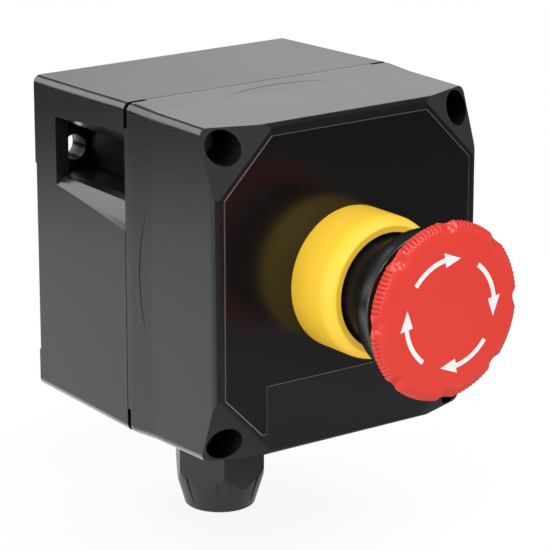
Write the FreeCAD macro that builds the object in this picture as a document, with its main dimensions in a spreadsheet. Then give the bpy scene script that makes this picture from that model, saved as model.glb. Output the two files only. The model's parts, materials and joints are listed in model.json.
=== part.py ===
import FreeCAD, Part
import math
import os

import Sketcher
from FreeCAD import Placement, Rotation, Vector

# Emergency stop station for a wall, in millimetres.
# The back of the housing lies on the plane y = 0, centred on x and z, and the button points along -Y.
# Depths are given as the distance in front of the wall, which is -y.

SIZES = (
    # Housing: two drafted half shells that meet at the parting plane.
    ("body_width", 75.0, "width at the parting plane"),
    ("body_height", 77.2, "height at the parting plane"),
    ("base_depth", 38.8, "wall to parting plane"),
    ("cover_depth", 34.0, "parting plane to front face"),
    ("draft_angle", 1.05, "mould draft of the base in degrees"),
    ("edge_round", 1.85, "round on the edges that run front to back"),
    ("front_round", 1.5, "round on the edges of the front face"),
    ("rim_wall", 5.5, "wall at the parting plane, with room for the gasket"),
    ("rear_wall", 3.5, "floor of the base"),
    ("front_wall", 3.5, "front wall of the cover"),
    ("cavity_corner", 22.1, "corner of the cavity, along the two walls from the outer corner"),
    ("roof_wall", 3.5, "wall of the cover over the mounting pockets"),
    ("skirt_depth", 2.2, "straight skirt of the cover by the parting plane"),
    ("step_depth", 7.6, "length over which the cover steps in"),
    ("step_in", 0.4, "step of each cover wall"),
    ("cover_lean", 0.28, "further lean of each cover wall up to the front"),
    ("facet_reach", 17.6, "corner facet, measured along the two front edges from the outer corner"),
    ("facet_angle", 26.6, "slope of the corner facets in degrees"),
    ("crease_half", 15.5, "half length of the curved crease in each wall of the cover"),
    ("crease_end", 8.3, "parting plane to the ends of a crease"),
    ("crease_top", 3.9, "bow of the creases in the upper and lower walls"),
    ("crease_side", 3.0, "bow of the creases in the side walls"),
    ("crease_width", 0.3, "crease at its middle, where it is widest"),
    ("crease_depth", 0.6, "floor of a crease, from the housing's outer face"),
    ("notch_width", 1.35, "pry notch at each corner of the parting line"),
    ("notch_reach", 5.6, "length of the pry notch along each wall"),
    ("notch_depth", 1.3, "depth of the pry notch into the wall"),
    ("parting_width", 0.25, "shadow line between the notches along the parting plane"),
    ("parting_depth", 0.3, "depth of the shadow line into the wall"),
    # Feet and mounting pockets.
    ("foot_height", 0.5, "height of the rear feet"),
    ("foot_large", 21.6, "foot by a mounting hole, from the end of the housing"),
    ("foot_small", 9.8, "foot with no mounting hole, from the end of the housing"),
    ("pocket_inset", 4.0, "side wall beside the screw pocket"),
    ("pocket_width", 8.0, "screw pocket, across"),
    ("pocket_floor", 5.7, "wall to the floor of the screw pocket"),
    ("pocket_roof", 10.5, "top of the housing to the pocket's ceiling"),
    ("pocket_tall", 12.2, "height of the screw pocket"),
    ("window_rear", 9.4, "wall to the rear edge of the pocket's side window"),
    ("window_rise_rear", 1.9, "window above the pocket's ceiling at its rear end"),
    ("window_rise_front", 3.9, "window above the pocket's ceiling at its front end"),
    ("window_drop_rear", 3.1, "window below the pocket's sill at its rear end"),
    ("window_drop_front", 6.9, "window below the pocket's sill at its front end"),
    ("mount_hole", 6.2, "diameter of a mounting hole"),
    ("mount_drop", 1.2, "mounting hole below the middle of its pocket"),
    # Gasket and cover screws.
    ("gasket_inset", 1.65, "cavity edge to gasket groove"),
    ("gasket_width", 2.2, "gasket groove across"),
    ("gasket_depth", 2.0, "gasket groove depth"),
    ("gasket_play", 0.1, "gap between gasket and groove wall"),
    ("screw_edge", 4.9, "cover screw from the side of the housing"),
    ("screw_well", 7.7, "diameter of the well over a cover screw"),
    ("well_depth", 14.0, "front face to the seat of the screw head"),
    ("screw_head", 7.0, "diameter of a cover screw's head"),
    ("head_tall", 3.0, "height of a cover screw's head"),
    ("screw_thread", 4.0, "diameter of a cover screw's thread"),
    ("screw_bite", 8.0, "length of a cover screw in its insert"),
    ("hex_socket", 2.5, "hexagon socket across flats"),
    ("insert_outer", 5.4, "outside diameter of a thread insert"),
    ("insert_length", 9.6, "length of a thread insert"),
    ("thread_play", 0.05, "gap between a screw and its hole"),
    # Front plate.
    ("plate_thick", 0.8, "front plate"),
    ("plate_proud", 0.25, "front plate above the cover's front face"),
    ("plate_inset", 2.5, "front plate from the edge of the front face"),
    ("plate_corner", 17.7, "plate corner, measured along the two edges from the outer corner"),
    ("foot_trim", 2.7, "lower ends of the plate above the line of its lower edge"),
    ("plate_gap", 0.15, "gap round the front plate"),
    ("plate_edge", 0.25, "round on the front edge of the plate"),
    ("label_side", 11.4, "side edge of the plate to the bare label field"),
    ("label_tall", 13.8, "line of the plate's lower edge to the top of the label field"),
    # Collar, bushing and nut, all on the axis of the button.
    ("collar_outer", 16.4, "outer radius of the collar"),
    ("collar_height", 14.1, "height of the collar"),
    ("collar_shoulder", 4.2, "height of the collar's rounded shoulder"),
    ("collar_turn", 1.7, "width of the collar's rounded shoulder"),
    ("collar_hole", 13.1, "radius of the collar's mouth"),
    ("collar_chamfer", 1.1, "chamfer of the collar's mouth"),
    ("collar_well", 14.0, "inner radius of the collar"),
    ("collar_floor", 2.5, "floor of the collar"),
    ("collar_seal_outer", 14.6, "outer radius of the collar's seal"),
    ("collar_seal_thick", 0.9, "collar seal"),
    ("flange_radius", 13.0, "flange of the bushing"),
    ("flange_thick", 2.0, "flange of the bushing"),
    ("bushing_radius", 10.9, "threaded outside of the bushing"),
    ("bushing_tail", 13.3, "bushing behind the front wall"),
    ("bushing_play", 0.3, "gap round the bushing in plate, cover and collar"),
    ("washer_radius", 15.0, "washer under the panel nut"),
    ("washer_thick", 1.0, "washer under the panel nut"),
    ("nut_flats", 27.0, "panel nut across flats"),
    ("nut_thick", 5.0, "panel nut"),
    # Button that is pressed and turned.
    ("press_travel", 5.0, "travel of the button"),
    ("run_play", 0.05, "radial gap of the running fits"),
    ("rest_gap", 0.3, "gap between moving pieces that face each other"),
    ("cap_standoff", 29.4, "front face to the back of the cap"),
    ("cap_radius", 20.0, "cap over its lobes"),
    ("cap_rim", 3.6, "back of the cap to its widest place"),
    ("cap_crown", 2.3, "widest place of the cap to its front"),
    ("cap_dome", 0.2, "rise of the cap's front inside its rounded edge"),
    ("cap_back_edge", 3.2, "width of the slope at the back of the cap's rim"),
    ("cap_face", 16.9, "radius of the cap's flat front"),
    ("cap_socket", 2.0, "socket in the back of the cap"),
    ("dip_count", 8, "dips round the rim"),
    ("dip_depth", 1.1, "depth of a dip"),
    ("dip_radius", 4.0, "radius of a dip"),
    ("neck_radius", 12.4, "neck that slides in the collar"),
    ("bell_radius", 16.15, "bell behind the cap"),
    ("bell_lip", 16.5, "front edge of the bell"),
    ("bell_tall", 4.0, "straight part of the bell"),
    ("bell_gap", 2.0, "groove between bell and cap"),
    ("spigot_radius", 13.0, "spigot that carries the cap"),
    ("neck_inner", 10.4, "inside of the neck, round the return spring"),
    ("neck_clear", 0.7, "neck above the bushing when pressed"),
    ("seat_drop", 9.2, "spring seat behind the back of the cap"),
    ("stem_lead", 4.0, "stem in front of the spring seat"),
    ("stem_radius", 8.0, "bore of the bushing for the stem"),
    ("shaft_radius", 4.0, "bore of the stem for the cam shaft"),
    ("shaft_root", 1.9, "cam shaft let into the cap"),
    ("wire_return", 1.0, "wire of the return spring"),
    ("coil_return", 18.2, "middle diameter of the return spring"),
    ("turns_return", 5.0, "turns of the return spring"),
    ("seal_thick", 1.4, "stem seal"),
    ("seal_reach", 1.2, "stem seal across"),
    ("seal_land", 0.5, "land in front of the stem seal"),
    # Latch that holds the pressed button.
    ("latch_front", 2.3, "front end of the latch slots, from the front face"),
    ("bar_thick", 2.4, "latch bar"),
    ("bar_arm", 1.3, "arm of a latch bar beside its window"),
    ("nose_half", 2.0, "half width of a latch nose"),
    ("latch_travel", 0.7, "travel of a latch bar"),
    ("cam_short", 1.6, "short half width of the cam"),
    ("cam_long", 2.8, "long half width of the cam"),
    ("slot_play", 0.1, "gap between a latch bar and its slot"),
    ("spring_room", 1.55, "latch spring when its bar is drawn in"),
    ("latch_groove", 1.2, "depth of the latch groove in the bushing"),
    ("wire_latch", 0.3, "wire of a latch spring"),
    ("coil_latch", 1.6, "middle diameter of a latch spring"),
    ("turns_latch", 3.0, "turns of a latch spring"),
    ("pivot_radius", 1.5, "pivot at the end of the cam shaft"),
    ("stem_wall", 3.9, "wall of the stem behind the latch"),
    ("clip_thick", 1.0, "clip on the pivot"),
    ("clip_radius", 3.0, "clip on the pivot"),
    ("clip_bite", 0.3, "groove of the clip"),
    ("key_width", 1.1, "guide rib in the bushing"),
    ("key_tall", 0.8, "guide rib in the bushing"),
    ("key_length", 6.0, "guide rib in the bushing"),
    # Pusher and contact blocks.
    ("pusher_radius", 10.5, "pusher plate"),
    ("pusher_thick", 3.0, "pusher plate"),
    ("pusher_hub", 5.5, "hub of the pusher in the stem"),
    ("boss_radius", 4.0, "boss that carries the contact carrier"),
    ("boss_tall", 3.0, "boss that carries the contact carrier"),
    ("boss_reach", 25.0, "boss from the middle of the housing"),
    ("carrier_thick", 2.5, "contact carrier"),
    ("carrier_half", 13.0, "half width of the contact carrier"),
    ("carrier_reach", 29.0, "half height of the contact carrier"),
    ("arm_thick", 2.0, "snap arm of the carrier"),
    ("arm_tall", 7.0, "snap arm of the carrier"),
    ("arm_nose", 0.8, "nose of a snap arm"),
    ("small_screw", 3.0, "diameter of the small screws"),
    ("small_head", 5.6, "head of the small screws"),
    ("small_head_tall", 1.8, "head of the small screws"),
    ("block_pitch", 12.0, "middle of one contact block to the next"),
    ("block_width", 10.0, "contact block across, with its lid"),
    ("block_half", 18.0, "half height of a contact block"),
    ("block_wall", 1.2, "walls of a contact block"),
    ("block_drop", 8.7, "pusher to the front of the contact blocks"),
    ("chamber_half", 10.5, "half height of the contact chamber"),
    ("plunger_half", 2.0, "half width of a contact plunger"),
    ("plunger_play", 0.1, "gap round a contact plunger"),
    ("contact_drop", 14.0, "front of a block to its fixed contacts"),
    ("strip_thick", 0.8, "contact strips"),
    ("strip_half", 2.4, "half width of a fixed contact strip"),
    ("strip_inner", 4.0, "inner end of a fixed contact strip"),
    ("strip_outer", 16.4, "outer end of a fixed contact strip"),
    ("bridge_half", 1.3, "half width of the contact bridge"),
    ("bridge_reach", 7.0, "half length of the contact bridge"),
    ("contact_gap", 0.1, "gap between closed contacts in the model"),
    ("plunger_tail", 8.0, "plunger behind the bridge"),
    ("terminal_reach", 14.2, "terminal screw from the middle of a block"),
    ("terminal_room", 6.0, "depth of the terminal chamber each side of the strip"),
    ("clamp_half", 2.2, "half width of a terminal clamp"),
    ("wire_contact", 0.35, "wire of a contact spring"),
    ("coil_contact", 2.8, "middle diameter of a contact spring"),
    ("turns_contact", 4.0, "turns of a contact spring"),
    # Cable gland under the base.
    ("gland_depth", 22.1, "wall to the axis of the gland"),
    ("gland_thread", 16.0, "diameter of the gland's thread"),
    ("gland_flats", 20.4, "gland across flats"),
    ("gland_bore", 11.0, "bore of the gland body"),
    ("spot_depth", 1.0, "spot face for the gland, from the rim of the base"),
    ("spot_margin", 2.0, "spot face round the gland's flats"),
    ("seal_ring", 1.0, "gland seal"),
    ("gland_hex", 5.6, "hexagon of the gland body"),
    ("gland_nut_gap", 0.6, "gap between gland body and cap nut"),
    ("gland_stub", 12.5, "threaded stub of the gland body in its cap nut"),
    ("gland_hex_nut", 12.8, "cap nut down to where its end begins to taper"),
    ("gland_taper", 11.4, "tapered end of the cap nut"),
    ("gland_end", 7.3, "end radius of the cap nut"),
    ("gland_edge", 1.35, "width of the rounding at the end of the cap nut"),
    ("gland_edge_rise", 0.8, "height of the rounding at the end of the cap nut"),
    ("gland_rib", 3.0, "rib at each corner of the cap nut"),
    ("gland_rib_lead", 1.2, "straight part of a rib below the start of the taper"),
    ("gland_rib_rise", 0.4, "height of a rib over the taper at its foot"),
    ("gland_rib_foot", 1.0, "sloping foot of a rib"),
    ("gland_mouth", 6.2, "mouth radius of the cap nut"),
    ("gland_floor", 7.0, "end wall of the cap nut"),
    ("cable_hole", 9.0, "hole in the rubber insert"),
    ("insert_rubber", 9.0, "length of the rubber insert"),
    ("locknut_flats", 22.0, "gland locknut across flats"),
    ("locknut_thick", 4.0, "gland locknut"),
)

DOC = FreeCAD.newDocument("emergency_stop_station")


class Size:
    """A value that knows the expression it comes from, so that models can be bound to the sheet."""

    def __init__(self, value, text):
        self.value = float(value)
        self.text = text

    def join(self, other, sign, value, swap=False):
        """Join two sizes, or a size and a number, with an operator sign."""
        text = other.text if isinstance(other, Size) else repr(float(other))
        pair = (text, self.text) if swap else (self.text, text)
        return Size(value, "(%s %s %s)" % (pair[0], sign, pair[1]))

    def __float__(self):
        return self.value

    def __add__(self, other):
        return self.join(other, "+", self.value + float(other))

    def __radd__(self, other):
        return self.join(other, "+", float(other) + self.value, True)

    def __sub__(self, other):
        return self.join(other, "-", self.value - float(other))

    def __rsub__(self, other):
        return self.join(other, "-", float(other) - self.value, True)

    def __mul__(self, other):
        return self.join(other, "*", self.value * float(other))

    def __rmul__(self, other):
        return self.join(other, "*", float(other) * self.value, True)

    def __truediv__(self, other):
        return self.join(other, "/", self.value / float(other))

    def __neg__(self):
        return Size(-self.value, "(-%s)" % self.text)


def tangent(angle):
    """Tangent of a size in degrees."""
    return Size(math.tan(math.radians(float(angle))), "tan(%s * 1 deg)" % angle.text)


def arc_radius(half_chord, rise):
    """Radius of an arc that rises over a chord."""
    return (half_chord * half_chord + rise * rise) / (rise * 2)


class Sheet:
    """The driving sizes, as attributes that name the cells of the spreadsheet."""

    def __init__(self, rows):
        cells = DOC.addObject("Spreadsheet::Sheet", "Sizes")
        for row, (alias, value, note) in enumerate(rows, start=1):
            cells.set("A%d" % row, alias)
            cells.set("B%d" % row, str(value))
            cells.set("C%d" % row, note)
            cells.setAlias("B%d" % row, alias)
            setattr(self, alias, Size(value, "Sizes.%s" % alias))
        DOC.recompute()


S = Sheet(SIZES)
NODES = []
TOUCH = 0.01
WIRE_SIDES = 6


# Tools for making features whose sizes follow the sheet.

def bind(item, field, size):
    """Bind one property of an object to a size, or set it if the size is a plain number."""
    if isinstance(size, Size):
        item.setExpression(field, size.text)
    elif "." in field:
        item.setExpression(field, repr(float(size)))
    else:
        setattr(item, field, size)


def place(item, x=0, y=0, z=0):
    """Bind the position of an object to three sizes."""
    bind(item, "Placement.Base.x", x)
    bind(item, "Placement.Base.y", y)
    bind(item, "Placement.Base.z", z)


def node(item, label):
    """Register a finished sub-part under the name of its file."""
    item.Label = label
    NODES.append(item)
    return item


def new_body(name):
    """Start a body."""
    body = DOC.addObject("PartDesign::Body", name)
    DOC.recompute()
    return body


def origin_item(body, role):
    """Plane or axis of a body's own origin."""
    return next(item for item in body.Origin.OriginFeatures if item.Role == role)


def start_sketch(body, name, plane, offset):
    """Empty sketch on an origin plane, moved along the plane's normal by an offset."""
    sketch = body.newObject("Sketcher::SketchObject", name)
    sketch.AttachmentSupport = [(origin_item(body, plane), "")]
    sketch.MapMode = "FlatFace"
    if offset is not None:
        bind(sketch, "AttachmentOffset.Base.z", offset)
    return sketch


def fix(sketch, geometry, end, x, y):
    """Fix one point of a sketch at two sizes from the sketch's origin."""
    for kind, axis, size in (("DistanceX", -2, x), ("DistanceY", -1, y)):
        if not isinstance(size, Size) and float(size) == 0.0:
            sketch.addConstraint(Sketcher.Constraint("PointOnObject", geometry, end, axis))
            continue
        index = sketch.addConstraint(Sketcher.Constraint(kind, geometry, end, float(size)))
        if isinstance(size, Size):
            sketch.setExpression("Constraints[%d]" % index, size.text)


def arc_between(start, end, radius):
    """Arc from start to end, turning left for a positive radius and right for a negative one."""
    chord = end - start
    middle = (start + end) * 0.5
    rise = math.sqrt(max(radius * radius - chord.Length ** 2 / 4.0, 0.0))
    side = Vector(-chord.y, chord.x, 0).normalize()
    centre = middle + side * math.copysign(rise, radius)
    circle = Part.Circle(centre, Vector(0, 0, 1), abs(radius))
    first, last = (start, end) if radius > 0 else (end, start)
    return Part.ArcOfCircle(circle, circle.parameter(first), circle.parameter(last))


def draw_loop(sketch, points):
    """Closed loop of straight runs; a third entry of a point is the radius of the arc that follows it."""
    corners = [Vector(float(point[0]), float(point[1]), 0) for point in points]
    pieces = []
    for index, point in enumerate(points):
        start, end = corners[index], corners[(index + 1) % len(points)]
        radius = float(point[2]) if len(point) > 2 else 0.0
        curve = arc_between(start, end, radius) if radius else Part.LineSegment(start, end)
        pieces.append((sketch.addGeometry(curve, False), radius))
    for index, (piece, radius) in enumerate(pieces):
        following, next_radius = pieces[(index + 1) % len(pieces)]
        last_end = 1 if radius < 0 else 2
        first_end = 2 if next_radius < 0 else 1
        sketch.addConstraint(Sketcher.Constraint("Coincident", piece, last_end, following, first_end))
    for (piece, radius), point in zip(pieces, points):
        fix(sketch, piece, 2 if radius < 0 else 1, point[0], point[1])
        if radius:
            index = sketch.addConstraint(Sketcher.Constraint("Radius", piece, abs(radius)))
            if isinstance(point[2], Size):
                text = point[2].text if radius > 0 else "(-%s)" % point[2].text
                sketch.setExpression("Constraints[%d]" % index, text)


def outline(body, name, plane, loops, offset=None):
    """Sketch of one or more closed loops."""
    sketch = start_sketch(body, name, plane, offset)
    for loop in loops:
        draw_loop(sketch, loop)
    DOC.recompute()
    return sketch


def circles(body, name, plane, centres, diameter, offset=None):
    """Sketch of equal circles."""
    sketch = start_sketch(body, name, plane, offset)
    for x, y in centres:
        centre = Vector(float(x), float(y), 0)
        ring_line = Part.Circle(centre, Vector(0, 0, 1), float(diameter) / 2)
        piece = sketch.addGeometry(ring_line, False)
        fix(sketch, piece, 3, x, y)
        index = sketch.addConstraint(Sketcher.Constraint("Diameter", piece, float(diameter)))
        sketch.setExpression("Constraints[%d]" % index, diameter.text)
    DOC.recompute()
    return sketch


def rectangle(x_low, y_low, x_high, y_high):
    """Corners of a rectangle, anticlockwise."""
    return [(x_low, y_low), (x_high, y_low), (x_high, y_high), (x_low, y_high)]


def profile_feature(body, kind, sketch, length=None, backwards=False, taper=None):
    """Pad or Pocket of a sketch; with no length a Pocket goes through both ways."""
    feature = body.newObject("PartDesign::" + kind, kind.lower())
    feature.Profile = sketch
    feature.Reversed = backwards
    if length is None:
        feature.Type = "ThroughAll"
        feature.Midplane = True
    else:
        bind(feature, "Length", length)
    if taper is not None:
        bind(feature, "TaperAngle", taper)
    DOC.recompute()
    return feature


def pad(body, sketch, length, backwards=False, taper=None):
    """Pad along the sketch's normal."""
    return profile_feature(body, "Pad", sketch, length, backwards, taper)


def pocket(body, sketch, length=None, backwards=False):
    """Pocket against the sketch's normal, which has to take material away."""
    before = body.Shape.Volume
    feature = profile_feature(body, "Pocket", sketch, length, backwards)
    if body.Shape.Volume > before - 1e-6:
        raise RuntimeError("%s of %s cuts nothing" % (sketch.Label, body.Label))
    return feature


def revolve(body, sketch):
    """Full turn of a sketch about its vertical axis."""
    feature = body.newObject("PartDesign::Revolution", "revolution")
    feature.Profile = sketch
    feature.ReferenceAxis = (sketch, ["V_Axis"])
    feature.Angle = 360
    DOC.recompute()
    return feature


def pattern(body, features, axis, count):
    """Copies of features turned about an axis of the body's origin."""
    feature = body.newObject("PartDesign::PolarPattern", "pattern")
    feature.Originals = features
    feature.Axis = (origin_item(body, axis), [""])
    feature.Angle = 360
    bind(feature, "Occurrences", count)
    body.Tip = feature
    DOC.recompute()
    return feature


def fillet(body, radius, wanted):
    """Round the edges of the body's last feature that pass a test on their two ends."""
    base = body.Tip
    names = []
    for index, edge in enumerate(base.Shape.Edges, start=1):
        ends = [vertex.Point for vertex in edge.Vertexes]
        if len(ends) == 2 and wanted(*ends):
            names.append("Edge%d" % index)
    feature = body.newObject("PartDesign::Fillet", "fillet")
    feature.Base = (base, names)
    bind(feature, "Radius", radius)
    DOC.recompute()
    return feature


def turned(label, profile, plane="XY_Plane", offset=None):
    """Body made by one full turn of a profile."""
    body = new_body(label)
    revolve(body, outline(body, label + "_profile", plane, [profile], offset))
    return body


def along(points):
    """Profile of (radius, distance from the wall) points, for a turn about the button's axis."""
    return [(point[0], -point[1]) + tuple(point[2:]) for point in points]


def box(name, x_low, x_high, near, far, z_low, z_high):
    """Block between two sizes each way; near and far are distances from the wall."""
    item = DOC.addObject("Part::Box", name)
    bind(item, "Length", x_high - x_low)
    bind(item, "Width", far - near)
    bind(item, "Height", z_high - z_low)
    place(item, x_low, -far, z_low)
    return item


def rod(name, radius, near, far, x=0, z=0):
    """Cylinder that runs from near to far in front of the wall."""
    item = DOC.addObject("Part::Cylinder", name)
    item.Placement = Placement(Vector(), Rotation(Vector(1, 0, 0), 90))
    bind(item, "Radius", radius)
    bind(item, "Height", far - near)
    place(item, x, -near, z)
    return item


def prism(name, flats, height, turn):
    """Hexagonal prism across flats, standing along Z before its turn."""
    item = DOC.addObject("Part::Prism", name)
    item.Polygon = 6
    item.Placement = Placement(Vector(), turn)
    bind(item, "Circumradius", flats / math.sqrt(3.0))
    bind(item, "Height", height)
    return item


def cut(name, base, tools):
    """Base with one or more tools taken away."""
    result = base
    for index, tool in enumerate(tools):
        step = DOC.addObject("Part::Cut", "%s_cut_%d" % (name, index))
        step.Base = result
        step.Tool = tool
        result = step
    return result


def shared(name, shapes):
    """What several shapes have in common."""
    item = DOC.addObject("Part::MultiCommon", name)
    item.Shapes = shapes
    return item


def fuse(name, shapes):
    """One solid from several."""
    item = DOC.addObject("Part::MultiFuse", name)
    item.Shapes = shapes
    item.Refine = True
    return item


def group(name, shapes):
    """Several separate solids in one node."""
    item = DOC.addObject("Part::Compound", name)
    item.Links = shapes
    return item


def mirrored(source, normal):
    """Mirror image of an object in a plane through the origin."""
    item = DOC.addObject("Part::Mirroring", source.Name + "_mirror")
    item.Source = source
    item.Normal = normal
    return item


def four_corners(name, source):
    """A piece and its mirror images in the other three corners."""
    side = mirrored(source, Vector(1, 0, 0))
    below = Vector(0, 0, 1)
    return group(name, [source, side, mirrored(source, below), mirrored(side, below)])


def coil(name, wire, diameter, length, turns, turn):
    """Spring with its lower end at the origin, standing along Z before its turn."""
    path = DOC.addObject("Part::Helix", name + "_path")
    path.LocalCoord = 0
    bind(path, "Pitch", (length - wire) / turns)
    bind(path, "Height", length - wire)
    bind(path, "Radius", diameter / 2)
    section = DOC.addObject("Part::RegularPolygon", name + "_wire")
    section.Polygon = WIRE_SIDES
    section.Placement = Placement(Vector(), Rotation(Vector(1, 0, 0), 90))
    bind(section, "Circumradius", wire / 2)
    bind(section, "Placement.Base.x", diameter / 2)
    sweep = DOC.addObject("Part::Sweep", name)
    sweep.Sections = [section]
    sweep.Spine = (path, [])
    sweep.Solid = True
    sweep.Frenet = True
    sweep.Placement = Placement(Vector(), turn)
    return sweep


ALONG_BUTTON = Rotation(Vector(1, 0, 0), 90)

# Places along the button's axis, from the wall.
FRONT = S.base_depth + S.cover_depth
PLATE_FRONT = FRONT + S.plate_proud
PLATE_BACK = PLATE_FRONT - S.plate_thick
INNER_FACE = FRONT - S.front_wall
COLLAR_RIM = FRONT + S.collar_height
FLANGE_BACK = FRONT + S.collar_floor
FLANGE_FRONT = FLANGE_BACK + S.flange_thick
BUSHING_REAR = INNER_FACE - S.bushing_tail
CAP_BACK = FRONT + S.cap_standoff
BELL_FRONT = CAP_BACK - S.bell_gap
SPRING_SEAT = CAP_BACK - S.seat_drop
STEM_FRONT = SPRING_SEAT + S.stem_lead
SOCKET_FLOOR = CAP_BACK + S.cap_socket
SHAFT_FRONT = SOCKET_FLOOR + S.shaft_root
NECK_REAR = FLANGE_FRONT + S.press_travel + S.neck_clear
LATCH_FRONT = FRONT + S.latch_front
LATCH_MIDDLE = LATCH_FRONT - S.bar_thick - 2 * S.slot_play
LATCH_REAR = LATCH_MIDDLE - S.bar_thick - 2 * S.slot_play
STEM_BORE = LATCH_REAR - S.stem_wall
PUSHER_FRONT = BUSHING_REAR - S.rest_gap
PUSHER_REAR = PUSHER_FRONT - S.pusher_thick
STEM_OUTER = S.stem_radius - S.run_play
SHAFT_OUTER = S.shaft_radius - S.run_play
SEAL_FRONT = FLANGE_FRONT - S.seal_land
SEAL_BACK = SEAL_FRONT - S.seal_thick
BUSHING_HOLE = S.bushing_radius + S.bushing_play
CLIP_FRONT = STEM_BORE - S.slot_play
CLIP_BACK = CLIP_FRONT - S.clip_thick

# Latch bars, from the button's axis: each is a frame round the cam.
BAR_HALF = S.cam_long + S.rest_gap + S.bar_arm
BAR_WALL = S.cam_short + S.run_play
BAR_BACK = BAR_WALL + S.bar_arm
BAR_ROOM = S.cam_short + S.latch_travel * 2 + S.rest_gap
BAR_ROOT = BAR_ROOM + S.bar_arm
NOSE_REACH = S.stem_radius - S.rest_gap
SLOT_END = BAR_BACK + S.latch_travel + S.spring_room

# Shares of the cam's half widths where its flanks meet its noses.
FLANK_SHARE = 0.64
NOSE_SHARE = 0.77

# Rounded sill of a mounting pocket's window, as shares of its depth and of its rise.
LIP_SHARES = ((0, 0), (0.12, 0.25), (0.3, 0.54), (0.6, 0.86), (1, 1))

# Places on the front, from the middle.
HALF_WIDTH = S.body_width / 2
HALF_HEIGHT = S.body_height / 2
SCREW_X = HALF_WIDTH - S.screw_edge
SCREW_Z = HALF_HEIGHT - S.screw_edge
COVER_INSET = S.step_in + S.cover_lean
WELL_SEAT = FRONT - S.well_depth

# Mounting pocket on the upper left, with its twin on the lower right.
POCKET_OUTER = HALF_WIDTH - S.pocket_inset
POCKET_INNER = POCKET_OUTER - S.pocket_width
POCKET_TOP = HALF_HEIGHT - S.pocket_roof
POCKET_SILL = POCKET_TOP - S.pocket_tall
MOUNT_X = (POCKET_OUTER + POCKET_INNER) / 2
MOUNT_Z = (POCKET_TOP + POCKET_SILL) / 2 - S.mount_drop

# Contact blocks between the carrier and the pusher.
CARRIER_REAR = S.rear_wall + S.boss_tall
CARRIER_FRONT = CARRIER_REAR + S.carrier_thick
BLOCK_FRONT = PUSHER_REAR - S.block_drop
PLUNGER_TIP = PUSHER_REAR - S.rest_gap
STRIP_REAR = BLOCK_FRONT - S.contact_drop
STRIP_FRONT = STRIP_REAR + S.strip_thick
BRIDGE_FRONT = STRIP_REAR - S.contact_gap
BRIDGE_REAR = BRIDGE_FRONT - S.strip_thick
PLUNGER_REAR = BRIDGE_REAR - S.plunger_tail
CHAMBER_REAR = CARRIER_FRONT + S.block_wall

# Heights of the gland, below the middle of the housing.
SPOT_FACE = -(HALF_HEIGHT - S.spot_depth)
GLAND_SHOULDER = SPOT_FACE - S.seal_ring
GLAND_STEP = GLAND_SHOULDER - S.gland_hex
NUT_TOP = GLAND_STEP - S.gland_nut_gap
NUT_SHOULDER = NUT_TOP - S.gland_hex_nut
NUT_END = NUT_SHOULDER - S.gland_taper
CAVITY_BOTTOM = -(HALF_HEIGHT - S.rim_wall)
STUB_END = GLAND_STEP - S.gland_stub


def room_loop():
    """Outline of the wider room in the cover, which reaches over the mounting pockets."""
    side = HALF_WIDTH - S.rim_wall
    end = HALF_HEIGHT - S.rim_wall
    corner = HALF_WIDTH + HALF_HEIGHT - S.cavity_corner
    right = [(corner - end, -end), (side, side - corner), (side, corner - side), (corner - end, end)]
    return right + [(-x, -z) for x, z in right]


def cavity_loop(grow):
    """Outline of the cavity, grown outwards; it steps in round the two mounting pockets."""
    side = HALF_WIDTH - S.rim_wall + grow
    end = HALF_HEIGHT - S.rim_wall + grow
    corner = HALF_WIDTH + HALF_HEIGHT - S.cavity_corner + grow * math.sqrt(2.0)
    inner = POCKET_INNER - S.rim_wall + grow
    sill = POCKET_SILL - S.window_drop_front / 2 - S.rim_wall + grow
    half = [(side, -sill), (side, corner - side), (corner - end, end), (-inner, end), (-inner, sill)]
    return half + [(-x, -z) for x, z in half]


def plate_loop(grow):
    """Outline of the front plate, which leaves the label field bare."""
    side = HALF_WIDTH - COVER_INSET - S.plate_inset + grow
    end = HALF_HEIGHT - COVER_INSET - S.plate_inset + grow
    outer = HALF_WIDTH + HALF_HEIGHT - COVER_INSET * 2
    corner = outer - S.plate_corner + grow * math.sqrt(2.0)
    field = side - S.label_side - grow * 2
    label = S.label_tall - end
    foot = end - S.foot_trim
    right = [(field, label), (field, -foot), (corner - foot, -foot), (side, side - corner),
             (side, corner - side), (corner - end, end)]
    return right + [(-x, z) for x, z in reversed(right)]


def depth_edge(first, last):
    """Whether an edge is one of those that run front to back at the corners."""
    run = last - first
    return abs(run.y) > max(abs(run.x), abs(run.z))


def front_edge(first, last):
    """Whether an edge lies round the cover's front face."""
    front = -float(FRONT)
    return max(abs(first.y - front), abs(last.y - front)) < TOUCH


# Housing.

def base_housing():
    """Rear shell with feet, mounting pockets, gasket groove, insert holes, bosses and gland hole."""
    body = new_body("base_housing_body")
    rim = [rectangle(-HALF_WIDTH, -HALF_HEIGHT, HALF_WIDTH, HALF_HEIGHT)]
    pad(body, outline(body, "rim", "XZ_Plane", rim, S.base_depth), S.base_depth, True, -S.draft_angle)
    fillet(body, S.edge_round, depth_edge)
    cavity = outline(body, "cavity", "XZ_Plane", [cavity_loop(0)], S.base_depth)
    pocket(body, cavity, S.base_depth - S.rear_wall)
    inner = cavity_loop(S.gasket_inset)
    outer = cavity_loop(S.gasket_inset + S.gasket_width)
    pocket(body, outline(body, "gasket_groove", "XZ_Plane", [outer, inner], S.base_depth), S.gasket_depth)
    corners = [(x, z) for x in (SCREW_X, -SCREW_X) for z in (SCREW_Z, -SCREW_Z)]
    inserts = circles(body, "insert_holes", "XZ_Plane", corners, S.insert_outer, S.base_depth)
    pocket(body, inserts, S.insert_length + S.screw_thread)
    add_feet(body)
    add_mounting_pockets(body)
    add_bosses(body)
    add_gland_hole(body)
    return node(body, "base_housing")


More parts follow.
